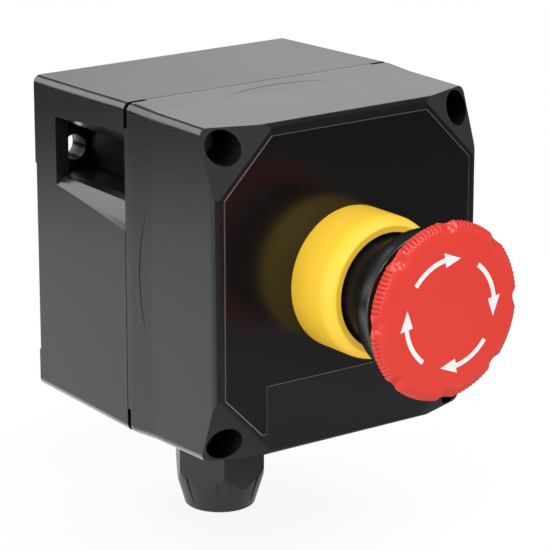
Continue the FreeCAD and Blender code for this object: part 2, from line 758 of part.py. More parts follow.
def add_feet(body):
    """Shallow recess across the back that leaves a foot at each corner, larger by the mounting holes."""
    high = HALF_HEIGHT - S.foot_large
    low = HALF_HEIGHT - S.foot_small
    reach = HALF_WIDTH
    recess = [(-reach, -low), (0, -low), (0, -high), (reach, -high),
              (reach, low), (0, low), (0, high), (-reach, high)]
    pocket(body, outline(body, "foot_recess", "XZ_Plane", [recess]), S.foot_height, True)


def add_mounting_pockets(body):
    """Screw pocket behind the cover's rim, with a flared window in the side and a hole in the floor."""
    core = rectangle(-POCKET_OUTER, POCKET_SILL, -POCKET_INNER, POCKET_TOP)
    well = pocket(body, outline(body, "pocket_core", "XZ_Plane", [core], S.base_depth),
                  S.base_depth - S.pocket_floor)
    rear = -S.window_rear
    front = -S.base_depth
    sections = []
    for index, (inward, rise) in enumerate(LIP_SHARES):
        flare, drop = 1 - inward, 1 - rise
        loop = [(rear, POCKET_SILL - S.window_drop_rear * drop),
                (rear, POCKET_TOP + S.window_rise_rear * flare),
                (front, POCKET_TOP + S.window_rise_front * flare),
                (front, POCKET_SILL - S.window_drop_front * drop)]
        depth = S.pocket_inset * inward - HALF_WIDTH
        sections.append(outline(body, "window_%d" % index, "YZ_Plane", [loop], depth))
    window = body.newObject("PartDesign::SubtractiveLoft", "window")
    window.Profile = sections[0]
    window.Sections = sections[1:]
    window.Ruled = True
    DOC.recompute()
    hole = pocket(body, circles(body, "mount_hole", "XZ_Plane", [(-MOUNT_X, MOUNT_Z)], S.mount_hole,
                                S.pocket_floor), S.pocket_floor)
    pattern(body, [well, window, hole], "Y_Axis", 2)


def add_bosses(body):
    """Two bosses on the floor with pilot holes for the carrier's screws."""
    places = [(0, S.boss_reach), (0, -S.boss_reach)]
    pad(body, circles(body, "bosses", "XZ_Plane", places, S.boss_radius * 2, S.rear_wall), S.boss_tall)
    holes = circles(body, "pilot_holes", "XZ_Plane", places, S.small_screw, CARRIER_REAR)
    pocket(body, holes, S.boss_tall + S.rear_wall / 2)


def add_gland_hole(body):
    """Spot face and clearance hole for the gland in the lower wall."""
    centre = [(0, -S.gland_depth)]
    spot = circles(body, "gland_spot", "XY_Plane", centre, S.gland_flats + S.spot_margin * 2, SPOT_FACE)
    pocket(body, spot, S.spot_depth * 2)
    hole = circles(body, "gland_hole", "XY_Plane", centre, S.gland_thread + 2 * S.thread_play, CAVITY_BOTTOM)
    pocket(body, hole, S.rim_wall * 2)


def cover():
    """Front shell with corner facets, screw wells, plate recess and the hole for the button."""
    body = new_body("cover_body")
    step_start = S.base_depth + S.skirt_depth
    step_end = step_start + S.step_depth
    levels = ((S.base_depth, 0), (step_start, 0), (step_end, S.step_in), (FRONT, COVER_INSET))
    sections = []
    for index, (depth, inset) in enumerate(levels):
        side, end = HALF_WIDTH - inset, HALF_HEIGHT - inset
        frame = rectangle(-side, -end, side, end)
        sections.append(outline(body, "section_%d" % index, "XZ_Plane", [frame], depth))
    shell = body.newObject("PartDesign::AdditiveLoft", "shell")
    shell.Profile = sections[0]
    shell.Sections = sections[1:]
    shell.Ruled = True
    DOC.recompute()
    fillet(body, S.edge_round, depth_edge)
    fillet(body, S.front_round, front_edge)
    add_facets(body)
    inside = outline(body, "cover_cavity", "XZ_Plane", [cavity_loop(0)], S.base_depth)
    pocket(body, inside, S.cover_depth - S.front_wall, True)
    room = outline(body, "cover_room", "XZ_Plane", [room_loop()], S.base_depth + S.roof_wall)
    pocket(body, room, S.cover_depth - S.front_wall - S.roof_wall, True)
    corners = [(x, z) for x in (SCREW_X, -SCREW_X) for z in (SCREW_Z, -SCREW_Z)]
    pocket(body, circles(body, "screw_wells", "XZ_Plane", corners, S.screw_well, FRONT), S.well_depth)
    shanks = circles(body, "shank_holes", "XZ_Plane", corners, S.screw_thread + 4 * S.thread_play, WELL_SEAT)
    pocket(body, shanks, WELL_SEAT - S.base_depth)
    recess = outline(body, "plate_recess", "XZ_Plane", [plate_loop(S.plate_gap)], FRONT)
    pocket(body, recess, FRONT - PLATE_BACK)
    pocket(body, circles(body, "button_hole", "XZ_Plane", [(0, 0)], BUSHING_HOLE * 2, FRONT), S.front_wall)
    add_pry_notches(body)
    add_parting_line(body)
    add_creases(body)
    return node(body, "cover")


def add_facets(body):
    """Sloping facets at the four front corners, cut square to the diagonals."""
    start = (HALF_WIDTH + HALF_HEIGHT - S.facet_reach) / math.sqrt(2.0)
    reach = S.facet_reach
    sketch = start_sketch(body, "facet", "XY_Plane", None)
    sketch.AttachmentOffset = Placement(Vector(), Rotation(Vector(0, 1, 0), 45))
    draw_loop(sketch, [(start, -FRONT), (start + reach, -FRONT),
                       (start + reach, -FRONT + reach * tangent(S.facet_angle))])
    DOC.recompute()
    pattern(body, [pocket(body, sketch)], "Y_Axis", 4)


def add_pry_notches(body):
    """Notches along the parting line round the four corners, for a screwdriver."""
    loops = []
    for across in (1, -1):
        for upright in (1, -1):
            x_out, z_out = HALF_WIDTH * across, HALF_HEIGHT * upright
            x_in, z_in = (HALF_WIDTH - S.notch_depth) * across, (HALF_HEIGHT - S.notch_depth) * upright
            x_end, z_end = (HALF_WIDTH - S.notch_reach) * across, (HALF_HEIGHT - S.notch_reach) * upright
            loops.append([(x_end, z_out), (x_out, z_out), (x_out, z_end),
                          (x_in, z_end), (x_in, z_in), (x_end, z_in)])
    pocket(body, outline(body, "pry_notches", "XZ_Plane", loops, S.base_depth), S.notch_width, True)


def add_parting_line(body):
    """Shadow line along the four walls at the parting plane, from notch to notch."""
    x_end, z_end = HALF_WIDTH - S.notch_reach, HALF_HEIGHT - S.notch_reach
    x_in, z_in = HALF_WIDTH - S.parting_depth, HALF_HEIGHT - S.parting_depth
    loops = [rectangle(-x_end, z_in, x_end, HALF_HEIGHT), rectangle(-x_end, -HALF_HEIGHT, x_end, -z_in),
             rectangle(x_in, -z_end, HALF_WIDTH, z_end), rectangle(-HALF_WIDTH, -z_end, -x_in, z_end)]
    pocket(body, outline(body, "parting_line", "XZ_Plane", loops, S.base_depth), S.parting_width, True)


def add_creases(body):
    """Curved creases, pointed at both ends, where the cover's four walls begin to lean."""
    end = -(S.base_depth + S.crease_end)
    half = S.crease_half
    for plane, height, bow, inward in (("XY_Plane", HALF_HEIGHT, S.crease_top, False),
                                       ("YZ_Plane", -HALF_WIDTH, S.crease_side, True)):
        rear = arc_radius(half, bow)
        front = arc_radius(half, bow - S.crease_width)
        if inward:
            loop = [(end, -half, rear), (end, half, -front)]
        else:
            loop = [(half, end, rear), (-half, end, -front)]
        crease = pocket(body, outline(body, "crease", plane, [loop], height), S.crease_depth, inward)
        pattern(body, [crease], "Y_Axis", 2)


def cover_gasket():
    """Seal that lies in the groove of the base."""
    body = new_body("cover_gasket_body")
    inner = cavity_loop(S.gasket_inset + S.gasket_play)
    outer = cavity_loop(S.gasket_inset + S.gasket_width - S.gasket_play)
    ring = outline(body, "gasket_ring", "XZ_Plane", [outer, inner], S.base_depth - S.gasket_depth)
    pad(body, ring, S.gasket_depth)
    return node(body, "cover_gasket")


def cover_screws():
    """Four cap screws with hexagon sockets at the bottom of the wells."""
    top = WELL_SEAT + S.head_tall
    tip = S.base_depth - S.screw_bite
    head = rod("screw_head_blank", S.screw_head / 2, WELL_SEAT, top, SCREW_X, SCREW_Z)
    shank = rod("screw_shank", S.screw_thread / 2, tip, WELL_SEAT, SCREW_X, SCREW_Z)
    socket = prism("screw_socket", S.hex_socket, S.head_tall, ALONG_BUTTON)
    place(socket, SCREW_X, S.head_tall / 2 - top, SCREW_Z)
    screw = cut("cover_screw", fuse("cover_screw_blank", [head, shank]), [socket])
    return node(four_corners("cover_screw_set", screw), "cover_screws")


def thread_inserts():
    """Four brass inserts in the base."""
    end = S.base_depth - S.insert_length
    blank = rod("insert_blank", S.insert_outer / 2, end, S.base_depth, SCREW_X, SCREW_Z)
    bore = rod("insert_bore", S.screw_thread / 2 + S.thread_play, end, S.base_depth, SCREW_X, SCREW_Z)
    return node(four_corners("insert_set", cut("insert", blank, [bore])), "thread_inserts")


def front_plate():
    """Thin plate let into the front of the cover, which it stands a little proud of."""
    body = new_body("front_plate_body")
    shape = outline(body, "plate_outline", "XZ_Plane", [plate_loop(0)], PLATE_BACK)
    pad(body, shape, S.plate_thick)
    fillet(body, S.plate_edge, plate_front)
    hole = circles(body, "plate_hole", "XZ_Plane", [(0, 0)], BUSHING_HOLE * 2, PLATE_FRONT)
    pocket(body, hole, S.plate_thick)
    return node(body, "front_plate")


def plate_front(first, last):
    """True for an edge of the plate's front face."""
    front = -float(PLATE_FRONT)
    return max(abs(first.y - front), abs(last.y - front)) < TOUCH


# Collar and bushing.

def collar():
    """Collar round the neck, with a rounded shoulder and a chamfered mouth."""
    seal_bed = S.collar_seal_outer + S.gasket_play
    seal_top = PLATE_FRONT + S.collar_seal_thick
    rounding = arc_radius(S.collar_shoulder, S.collar_turn)
    step = S.collar_chamfer
    points = [(BUSHING_HOLE, seal_top), (seal_bed, seal_top), (seal_bed, PLATE_FRONT),
              (S.collar_outer, PLATE_FRONT), (S.collar_outer, COLLAR_RIM - S.collar_shoulder, -rounding),
              (S.collar_outer - S.collar_turn, COLLAR_RIM), (S.collar_hole + step, COLLAR_RIM),
              (S.collar_hole, COLLAR_RIM - step), (S.collar_hole, COLLAR_RIM - step * 2),
              (S.collar_well, COLLAR_RIM - step * 3), (S.collar_well, FLANGE_BACK),
              (BUSHING_HOLE, FLANGE_BACK)]
    return node(turned("collar_body", along(points)), "collar")


def ring(label, inner, outer, near, far):
    """Plain ring on the button's axis."""
    return turned(label + "_body", along([(inner, near), (outer, near), (outer, far), (inner, far)]))


def collar_seal():
    """Flat seal under the collar."""
    top = PLATE_FRONT + S.collar_seal_thick
    return node(ring("collar_seal", BUSHING_HOLE, S.collar_seal_outer, PLATE_FRONT, top), "collar_seal")


def bushing():
    """Threaded bushing that guides the stem, with a seal groove, a latch groove and two guide ribs."""
    bore = S.stem_radius
    groove = bore + S.latch_groove
    groove_far = LATCH_FRONT - S.press_travel + S.rest_gap
    groove_near = LATCH_REAR - S.press_travel - S.rest_gap
    bed = bore + S.seal_reach
    points = [(bore, BUSHING_REAR), (S.bushing_radius, BUSHING_REAR), (S.bushing_radius, FLANGE_BACK),
              (S.flange_radius, FLANGE_BACK), (S.flange_radius, FLANGE_FRONT), (bore, FLANGE_FRONT),
              (bore, SEAL_FRONT), (bed, SEAL_FRONT), (bed, SEAL_BACK), (bore, SEAL_BACK),
              (bore, groove_far), (groove, groove_far), (groove, groove_near), (bore, groove_near)]
    body = turned("bushing_body", along(points))
    side = S.key_width / 2
    ribs = [rectangle(-side, low, side, high) for low, high in
            ((bore - S.key_tall, bore + S.key_tall), (-bore - S.key_tall, -bore + S.key_tall))]
    pad(body, outline(body, "guide_ribs", "XZ_Plane", ribs, BUSHING_REAR), S.key_length)
    return node(body, "bushing")


def stem_seal():
    """Ring that wipes the stem."""
    outer = S.stem_radius + S.seal_reach
    return node(ring("stem_seal", S.stem_radius, outer, SEAL_BACK, SEAL_FRONT), "stem_seal")


def panel_washer():
    """Washer between the nut and the cover."""
    back = INNER_FACE - S.washer_thick
    return node(ring("panel_washer", BUSHING_HOLE, S.washer_radius, back, INNER_FACE), "panel_washer")


def panel_nut():
    """Hexagon nut that clamps the bushing."""
    near = INNER_FACE - S.washer_thick - S.nut_thick
    blank = prism("nut_blank", S.nut_flats, S.nut_thick, ALONG_BUTTON)
    place(blank, 0, -near, 0)
    bore = rod("nut_bore", S.bushing_radius + S.thread_play, near, near + S.nut_thick)
    return node(cut("panel_nut_shape", blank, [bore]), "panel_nut")


# Button.

def mushroom_cap():
    """Red cap with a lobed rim, a sloping back, a rounded front edge and a socket for the neck."""
    rim_front = CAP_BACK + S.cap_rim
    crown = rim_front + S.cap_crown
    edge = arc_radius(S.cap_radius - S.cap_face, S.cap_crown)
    points = [(0, SHAFT_FRONT), (SHAFT_OUTER, SHAFT_FRONT), (SHAFT_OUTER, SOCKET_FLOOR),
              (S.spigot_radius, SOCKET_FLOOR), (S.spigot_radius, CAP_BACK),
              (S.cap_radius - S.cap_back_edge, CAP_BACK), (S.cap_radius, rim_front, -edge),
              (S.cap_face, crown), (0, crown + S.cap_dome)]
    body = turned("mushroom_cap_body", along(points))
    centre = S.cap_radius + S.dip_radius - S.dip_depth
    dip = circles(body, "dip", "XZ_Plane", [(centre, 0)], S.dip_radius * 2, CAP_BACK)
    cut_dip = pocket(body, dip, S.cap_rim + S.cap_crown + S.cap_dome, True)
    pattern(body, [cut_dip], "Y_Axis", S.dip_count)
    return node(body, "mushroom_cap")


def cap_skirt():
    """Black neck that slides in the collar and flares into a bell behind the cap."""
    flare_start = COLLAR_RIM + S.press_travel
    flare_end = BELL_FRONT - S.bell_tall
    flare = arc_radius(flare_end - flare_start, S.bell_radius - S.neck_radius)
    web_near = STEM_FRONT + S.rest_gap
    bore = S.stem_radius + S.run_play
    points = [(S.neck_inner, NECK_REAR), (S.neck_radius, NECK_REAR), (S.neck_radius, flare_start, flare),
              (S.bell_radius, flare_end), (S.bell_lip, BELL_FRONT), (S.spigot_radius, BELL_FRONT),
              (S.spigot_radius, SOCKET_FLOOR), (SHAFT_OUTER, SOCKET_FLOOR),
              (SHAFT_OUTER, web_near), (bore, web_near), (bore, SPRING_SEAT), (S.neck_inner, SPRING_SEAT)]
    return node(turned("cap_skirt_body", along(points)), "cap_skirt")


def cam_shaft():
    """Shaft fixed in the cap, with the oval cam and a pivot for the clip at its end."""
    pivot = S.pivot_radius
    groove = pivot - S.clip_bite
    tip = CLIP_BACK - S.clip_thick
    points = [(0, tip), (pivot, tip), (pivot, CLIP_BACK), (groove, CLIP_BACK), (groove, CLIP_FRONT),
              (pivot, CLIP_FRONT), (pivot, LATCH_FRONT), (SHAFT_OUTER, LATCH_FRONT),
              (SHAFT_OUTER, SHAFT_FRONT), (0, SHAFT_FRONT)]
    body = turned("cam_shaft_body", along(points))
    side, end = S.cam_short * FLANK_SHARE, S.cam_long * NOSE_SHARE
    flank = arc_radius(end, S.cam_short - side)
    nose = arc_radius(side, S.cam_long - end)
    oval = [(side, -end, flank), (side, end, nose), (-side, end, flank), (-side, -end, nose)]
    sketch = outline(body, "cam_outline", "XZ_Plane", [oval], LATCH_REAR + S.slot_play)
    pad(body, sketch, LATCH_FRONT - LATCH_REAR - S.slot_play)
    return node(body, "cam_shaft")


def cam_clip():
    """Clip that keeps the cam shaft in the stem."""
    inner = S.pivot_radius - S.clip_bite
    return node(ring("cam_clip", inner, S.clip_radius, CLIP_BACK, CLIP_FRONT), "cam_clip")


def stem():
    """Sliding stem with the bore for the cam shaft, two latch slots and two guide grooves."""
    pivot_hole = S.pivot_radius + S.run_play
    points = [(S.shaft_radius, PUSHER_FRONT), (STEM_OUTER, PUSHER_FRONT), (STEM_OUTER, STEM_FRONT),
              (S.shaft_radius, STEM_FRONT), (S.shaft_radius, LATCH_FRONT), (pivot_hole, LATCH_FRONT),
              (pivot_hole, STEM_BORE), (S.shaft_radius, STEM_BORE)]
    body = turned("stem_body", along(points))
    half = BAR_HALF + S.slot_play
    for name, level, low, high in (("left_slot", LATCH_MIDDLE, -S.stem_radius, SLOT_END),
                                   ("right_slot", LATCH_FRONT, -SLOT_END, S.stem_radius)):
        slot = outline(body, name, "XZ_Plane", [rectangle(low, -half, high, half)], level)
        pocket(body, slot, S.bar_thick + 2 * S.slot_play)
    side = S.key_width / 2 + S.run_play
    depth = S.stem_radius - S.key_tall - S.slot_play
    upper = rectangle(-side, depth, side, S.stem_radius)
    grooves = [upper, [(-x, -z) for x, z in upper]]
    keyway = outline(body, "guide_grooves", "XZ_Plane", grooves, PUSHER_FRONT)
    pocket(body, keyway, S.key_length + S.press_travel + S.rest_gap * 2, True)
    return node(body, "stem")


def pusher_plate():
    """Disc on the rear of the stem that presses both contact plungers."""
    disc = rod("pusher_disc", S.pusher_radius, PUSHER_REAR, PUSHER_FRONT)
    hub = rod("pusher_stub", S.shaft_radius, PUSHER_FRONT, PUSHER_FRONT + S.pusher_hub)
    return node(fuse("pusher_shape", [disc, hub]), "pusher_plate")


def latch_bar(label, side, rear):
    """Sliding frame round the cam, with a nose that points to one side."""
    body = new_body(label + "_body")
    half, nose = BAR_HALF, S.nose_half
    inner = half - S.bar_arm
    frame = [(-BAR_ROOT, half), (-BAR_ROOT, nose), (-NOSE_REACH, nose), (-NOSE_REACH, -nose),
             (-BAR_ROOT, -nose), (-BAR_ROOT, -half), (BAR_BACK, -half), (BAR_BACK, half)]
    window = rectangle(-BAR_ROOM, -inner, BAR_WALL, inner)
    loops = [[(x * side, z) for x, z in loop] for loop in (frame, window)]
    pad(body, outline(body, label + "_frame", "XZ_Plane", loops, rear + S.slot_play), S.bar_thick)
    return node(body, label)


def latch_springs():
    """Two small springs that push the latch bars outwards."""
    length = SLOT_END - BAR_BACK
    springs = []
    for name, level, side in (("left_spring", LATCH_REAR, 1), ("right_spring", LATCH_MIDDLE, -1)):
        outwards = Rotation(Vector(0, 1, 0), 90 * side)
        spring = coil(name, S.wire_latch, S.coil_latch, length, S.turns_latch, outwards)
        place(spring, (BAR_BACK + S.wire_latch / 2) * side, -(level + S.slot_play + S.bar_thick / 2), 0)
        springs.append(spring)
    return node(group("latch_spring_pair", springs), "latch_springs")


def return_spring():
    """Spring between the bushing and the neck."""
    length = SPRING_SEAT - FLANGE_FRONT - S.slot_play
    spring = coil("return_coil", S.wire_return, S.coil_return, length, S.turns_return, ALONG_BUTTON)
    place(spring, 0, -(FLANGE_FRONT + S.wire_return / 2 + S.slot_play / 2), 0)
    return node(spring, "return_spring")


# Contact blocks.

def contact_carrier():
    """Moulded carrier on the two bosses, with snap arms for the contact blocks."""
    body = new_body("contact_carrier_body")
    reach, half = S.carrier_reach, S.carrier_half
    plate = outline(body, "carrier_plate", "XZ_Plane", [rectangle(-half, -reach, half, reach)], CARRIER_REAR)
    pad(body, plate, S.carrier_thick)
    inner = S.block_half + S.slot_play
    outer = inner + S.arm_thick
    arms = [rectangle(-half, inner, half, outer), rectangle(-half, -outer, half, -inner)]
    pad(body, outline(body, "snap_arms", "XZ_Plane", arms, CARRIER_FRONT), S.arm_tall)
    lip = inner - S.arm_nose
    noses = [rectangle(-half, lip, half, outer), rectangle(-half, -outer, half, -lip)]
    pad(body, outline(body, "snap_noses", "XZ_Plane", noses, CARRIER_FRONT + S.arm_tall), S.arm_nose)
    holes = circles(body, "carrier_holes", "XZ_Plane", [(0, S.boss_reach), (0, -S.boss_reach)],
                    S.small_screw + 2 * S.thread_play, CARRIER_FRONT)
    pocket(body, holes, S.carrier_thick)
    return node(body, "contact_carrier")


def carrier_screws():
    """Two screws that hold the carrier."""
    end = CARRIER_REAR - S.boss_tall
    top = CARRIER_FRONT + S.small_head_tall
    head = rod("carrier_head", S.small_head / 2, CARRIER_FRONT, top, 0, S.boss_reach)
    shank = rod("carrier_shank", S.small_screw / 2, end, CARRIER_FRONT, 0, S.boss_reach)
    screw = fuse("carrier_screw", [head, shank])
    return node(group("carrier_screw_pair", [screw, mirrored(screw, Vector(0, 0, 1))]), "carrier_screws")


class ContactBlock:
    """One normally closed contact block with its lid, plunger, bridge, spring, strips and terminals."""

    def __init__(self, side_name, side):
        self.side_name = side_name
        self.side = side
        self.middle = S.block_pitch / 2 * side

    def named(self, word, end_name=""):
        """Name of a piece of this block."""
        return "_".join(part for part in (word, self.side_name, end_name) if part)

    def across(self, near_axis, far_axis):
        """Two x places, given from the block's middle and counted away from the button's axis."""
        ends = (self.middle + near_axis * self.side, self.middle + far_axis * self.side)
        return ends if self.side > 0 else ends[::-1]

    def slab(self, name, half_width, near, far, z_low, z_high):
        """Block centred on the middle of the contact block."""
        return box(name, self.middle - half_width, self.middle + half_width, near, far, z_low, z_high)

    def build(self):
        """Make every piece of the block."""
        ends = [ContactEnd(self, "upper", 1), ContactEnd(self, "lower", -1)]
        self.shell(ends)
        node(group(self.named("strip_pair"), [end.strip() for end in ends]), self.named("fixed_contacts"))
        node(group(self.named("clamp_pair"), [end.clamp() for end in ends]), self.named("terminal_clamps"))
        node(group(self.named("screw_pair"), [end.screw() for end in ends]), self.named("terminal_screws"))
        self.moving_pieces()

    def shell(self, ends):
        """Housing with its hollows, and the lid that closes its side."""
        half = S.block_width / 2
        wall = half - S.block_wall
        blank = box(self.named("block_blank"), *self.across(-half, wall), CARRIER_FRONT, BLOCK_FRONT,
                    -S.block_half, S.block_half)
        chamber = box(self.named("chamber"), *self.across(-wall, half), CHAMBER_REAR,
                      BLOCK_FRONT - S.block_wall, -S.chamber_half, S.chamber_half)
        guide = S.plunger_half + S.plunger_play
        hollows = [chamber, self.slab(self.named("guide"), guide, CHAMBER_REAR, BLOCK_FRONT, -guide, guide)]
        for end in ends:
            hollows += end.hollows(self.across(-wall, half))
        shell = cut(self.named("block_shell"), blank, [fuse(self.named("block_hollows"), hollows)])
        node(shell, self.named("contact_housing"))
        tall = S.block_half - S.arm_nose - S.slot_play
        lid = box(self.named("block_lid"), *self.across(wall, half), CARRIER_FRONT, BLOCK_FRONT, -tall, tall)
        node(lid, self.named("contact_lid"))

    def moving_pieces(self):
        """Plunger with the bridge through it, and the spring behind it."""
        bar = S.plunger_half
        blank = self.slab(self.named("plunger_blank"), bar, PLUNGER_REAR, PLUNGER_TIP, -bar, bar)
        slot = self.slab(self.named("bridge_slot"), S.bridge_half, BRIDGE_REAR, BRIDGE_FRONT, -bar, bar)
        node(cut(self.named("plunger"), blank, [slot]), self.named("contact_plunger"))
        bridge = self.slab(self.named("bridge_bar"), S.bridge_half, BRIDGE_REAR, BRIDGE_FRONT,
                           -S.bridge_reach, S.bridge_reach)
        node(bridge, self.named("contact_bridge"))
        length = PLUNGER_REAR - CHAMBER_REAR - S.slot_play
        spring = coil(self.named("contact_coil"), S.wire_contact, S.coil_contact, length, S.turns_contact,
                      ALONG_BUTTON)
        place(spring, self.middle, -(CHAMBER_REAR + S.wire_contact / 2 + S.slot_play / 2), 0)
        node(spring, self.named("contact_spring"))


class ContactEnd:
    """Upper or lower end of a contact block, with one fixed contact and its terminal."""

    def __init__(self, block, end_name, way):
        self.block = block
        self.end_name = end_name
        self.way = way
        self.place = (block.middle, S.terminal_reach * way)
        self.room_near = STRIP_REAR - S.terminal_room
        self.clamp_front = STRIP_FRONT + S.strip_thick
        self.thread = S.small_screw / 2
        self.head = S.small_head / 2 - S.arm_nose

    def named(self, word):
        """Name of a piece at this end of the block."""
        return self.block.named(word, self.end_name)

    def upright(self, low, high):
        """Two z places counted from the block's middle towards this end."""
        return (low, high) if self.way > 0 else (-high, -low)

    def slab(self, word, half_width, near, far, low, high):
        """Block at this end of the contact block."""
        return self.block.slab(self.named(word), half_width, near, far, *self.upright(low, high))

    def hollows(self, room_width):
        """Terminal room, strip slit, driver hole, wire hole and the notch for a snap arm."""
        low = S.chamber_half + S.block_wall
        high = S.block_half - S.block_wall
        room_far = STRIP_FRONT + S.terminal_room
        half = S.block_width / 2
        notch = CARRIER_FRONT + S.arm_tall
        return [
            box(self.named("room"), *room_width, self.room_near, room_far, *self.upright(low, high)),
            self.slab("slit", S.strip_half, STRIP_REAR, STRIP_FRONT, S.chamber_half - S.block_wall, high),
            rod(self.named("driver_hole"), self.head + S.slot_play, STRIP_FRONT, BLOCK_FRONT, *self.place),
            self.slab("wire_hole", S.strip_half, self.room_near, STRIP_REAR, low, S.block_half),
            self.slab("snap_notch", half, notch, notch + S.arm_nose + S.slot_play, S.block_half - S.arm_nose,
                      S.block_half),
        ]

    def strip(self):
        """Fixed contact that runs from the bridge to the terminal."""
        blank = self.slab("strip_blank", S.strip_half, STRIP_REAR, STRIP_FRONT, S.strip_inner, S.strip_outer)
        radius = self.thread + S.thread_play
        hole = rod(self.named("strip_hole"), radius, STRIP_REAR, STRIP_FRONT, *self.place)
        return cut(self.named("strip"), blank, [hole])

    def clamp(self):
        """Square clamp on the fixed contact."""
        half = S.clamp_half
        blank = self.slab("clamp_blank", half, STRIP_FRONT, self.clamp_front, S.terminal_reach - half,
                          S.terminal_reach + half)
        hole = rod(self.named("clamp_hole"), self.thread + S.thread_play, STRIP_FRONT, self.clamp_front,
                   *self.place)
        return cut(self.named("clamp"), blank, [hole])

    def screw(self):
        """Terminal screw through clamp and strip."""
        head = rod(self.named("terminal_head"), self.head, self.clamp_front,
                   self.clamp_front + S.small_head_tall, *self.place)
        shank = rod(self.named("terminal_shank"), self.thread, self.room_near + S.slot_play, self.clamp_front,
                    *self.place)
        return fuse(self.named("terminal_screw"), [head, shank])


# Cable gland.

def gland_turned(label, points):
    """Body turned about the gland's axis from (radius, height) points."""
    return turned(label + "_body", points, "XZ_Plane", S.gland_depth)


def gland_body():
    """Threaded gland with a hexagon under the housing and a stub for the cap nut."""
    thread = S.gland_thread / 2
    bore = S.gland_bore / 2
    top = CAVITY_BOTTOM + S.locknut_thick + S.rest_gap
    tube = gland_turned("gland_tube", [(bore, STUB_END), (thread, STUB_END), (thread, top), (bore, top)])
    hexagon = prism("gland_hexagon", S.gland_flats, S.gland_hex, Rotation())
    place(hexagon, 0, -S.gland_depth, GLAND_STEP)
    core = [(0, GLAND_STEP), (bore, GLAND_STEP), (bore, GLAND_SHOULDER), (0, GLAND_SHOULDER)]
    flange = cut("gland_flange", hexagon, [gland_turned("gland_core", core)])
    return node(fuse("gland_body_shape", [tube, flange]), "gland_body")


def gland_seal():
    """Flat seal between the gland and the housing."""
    inner = S.gland_thread / 2 + S.thread_play
    outer = S.gland_flats / 2
    section = [(inner, GLAND_SHOULDER), (outer, GLAND_SHOULDER), (outer, SPOT_FACE), (inner, SPOT_FACE)]
    return node(gland_turned("gland_seal", section), "gland_seal")


def gland_locknut():
    """Nut inside the housing."""
    blank = prism("locknut_blank", S.locknut_flats, S.locknut_thick, Rotation())
    place(blank, 0, -S.gland_depth, CAVITY_BOTTOM)
    radius = S.gland_thread / 2 + S.thread_play
    top = CAVITY_BOTTOM + S.locknut_thick
    section = [(0, CAVITY_BOTTOM), (radius, CAVITY_BOTTOM), (radius, top), (0, top)]
    return node(cut("locknut_shape", blank, [gland_turned("locknut_bore", section)]), "gland_locknut")


def gland_insert():
    """Rubber insert that closes round a cable."""
    outer = S.gland_bore / 2
    inner = S.cable_hole / 2
    top = STUB_END + S.insert_rubber
    section = [(inner, STUB_END), (outer, STUB_END), (outer, top), (inner, top)]
    return node(gland_turned("gland_insert", section), "gland_insert")


def gland_nut():
    """Cap nut: a hexagon that tapers to a round end, with its corners carried on as ribs."""
    corner = S.gland_flats / math.sqrt(3.0)
    bore = S.gland_thread / 2 + S.thread_play
    floor = NUT_END + S.gland_floor
    edge = S.gland_end + S.gland_edge
    edge_top = NUT_END + S.gland_edge_rise
    rib_top = NUT_SHOULDER - S.gland_rib_lead
    rounding = arc_radius(S.gland_edge_rise, S.gland_edge)
    form = gland_turned("nut_form", [(0, NUT_END), (S.gland_end, NUT_END, rounding), (edge, edge_top),
                                     (corner, NUT_SHOULDER), (corner, NUT_TOP), (0, NUT_TOP)])
    rib_form = gland_turned("rib_form", [(0, edge_top), (S.gland_end, edge_top),
                                         (edge + S.gland_rib_rise, edge_top + S.gland_rib_foot),
                                         (corner, rib_top), (corner, NUT_SHOULDER), (0, NUT_SHOULDER)])
    core = gland_turned("nut_core", [(0, NUT_END), (S.gland_mouth, NUT_END), (S.gland_mouth, floor),
                                     (bore, floor), (bore, NUT_TOP), (0, NUT_TOP)])
    hexagon = prism("gland_nut_hexagon", S.gland_flats, S.gland_hex_nut + S.gland_taper, Rotation())
    place(hexagon, 0, -S.gland_depth, NUT_END)
    ribs = fuse("nut_ribs", [nut_rib(index, corner) for index in range(3)])
    cone = shared("nut_cone", [hexagon, form])
    corners = shared("nut_corners", [hexagon, rib_form, ribs])
    return node(cut("gland_nut_shape", fuse("nut_blank", [cone, corners]), [core]), "gland_nut")


def nut_rib(index, reach):
    """Bar across two opposite corners of the cap nut."""
    angle = math.radians(60 * index)
    half = S.gland_rib / 2
    bar = box("nut_rib_%d" % index, -reach, reach, -half, half, NUT_END, NUT_SHOULDER)
    bar.Placement = Placement(Vector(), Rotation(Vector(0, 0, 1), 60 * index))
    place(bar, half * math.sin(angle) - reach * math.cos(angle),
          -S.gland_depth - reach * math.sin(angle) - half * math.cos(angle), NUT_END)
    return bar


def build():
    """Make every sub-part, check it and write its file."""
    for make in (base_housing, cover, cover_gasket, cover_screws, thread_inserts, front_plate,
                 collar, collar_seal, bushing, stem_seal, panel_washer, panel_nut,
                 mushroom_cap, cap_skirt, cam_shaft, cam_clip, stem, pusher_plate):
        make()
    latch_bar("latch_bar_left", 1, LATCH_REAR)
    latch_bar("latch_bar_right", -1, LATCH_MIDDLE)
    latch_springs()
    return_spring()
    contact_carrier()
    carrier_screws()
    ContactBlock("left", -1).build()
    ContactBlock("right", 1).build()
    for make in (gland_body, gland_seal, gland_locknut, gland_insert, gland_nut):
        make()
    DOC.recompute()
    broken = [item.Label for item in DOC.Objects if "Invalid" in item.State or "Error" in item.State]
    if broken:
        raise RuntimeError("did not recompute: %s" % ", ".join(broken))
    for item in NODES:
        if item.Shape.isNull() or not item.Shape.isValid() or not item.Shape.Solids:
            raise RuntimeError("%s has no valid solid" % item.Label)
    os.makedirs("parts", exist_ok=True)
    for item in NODES:
        item.Shape.exportStep("parts/%s.step" % item.Label)


build()
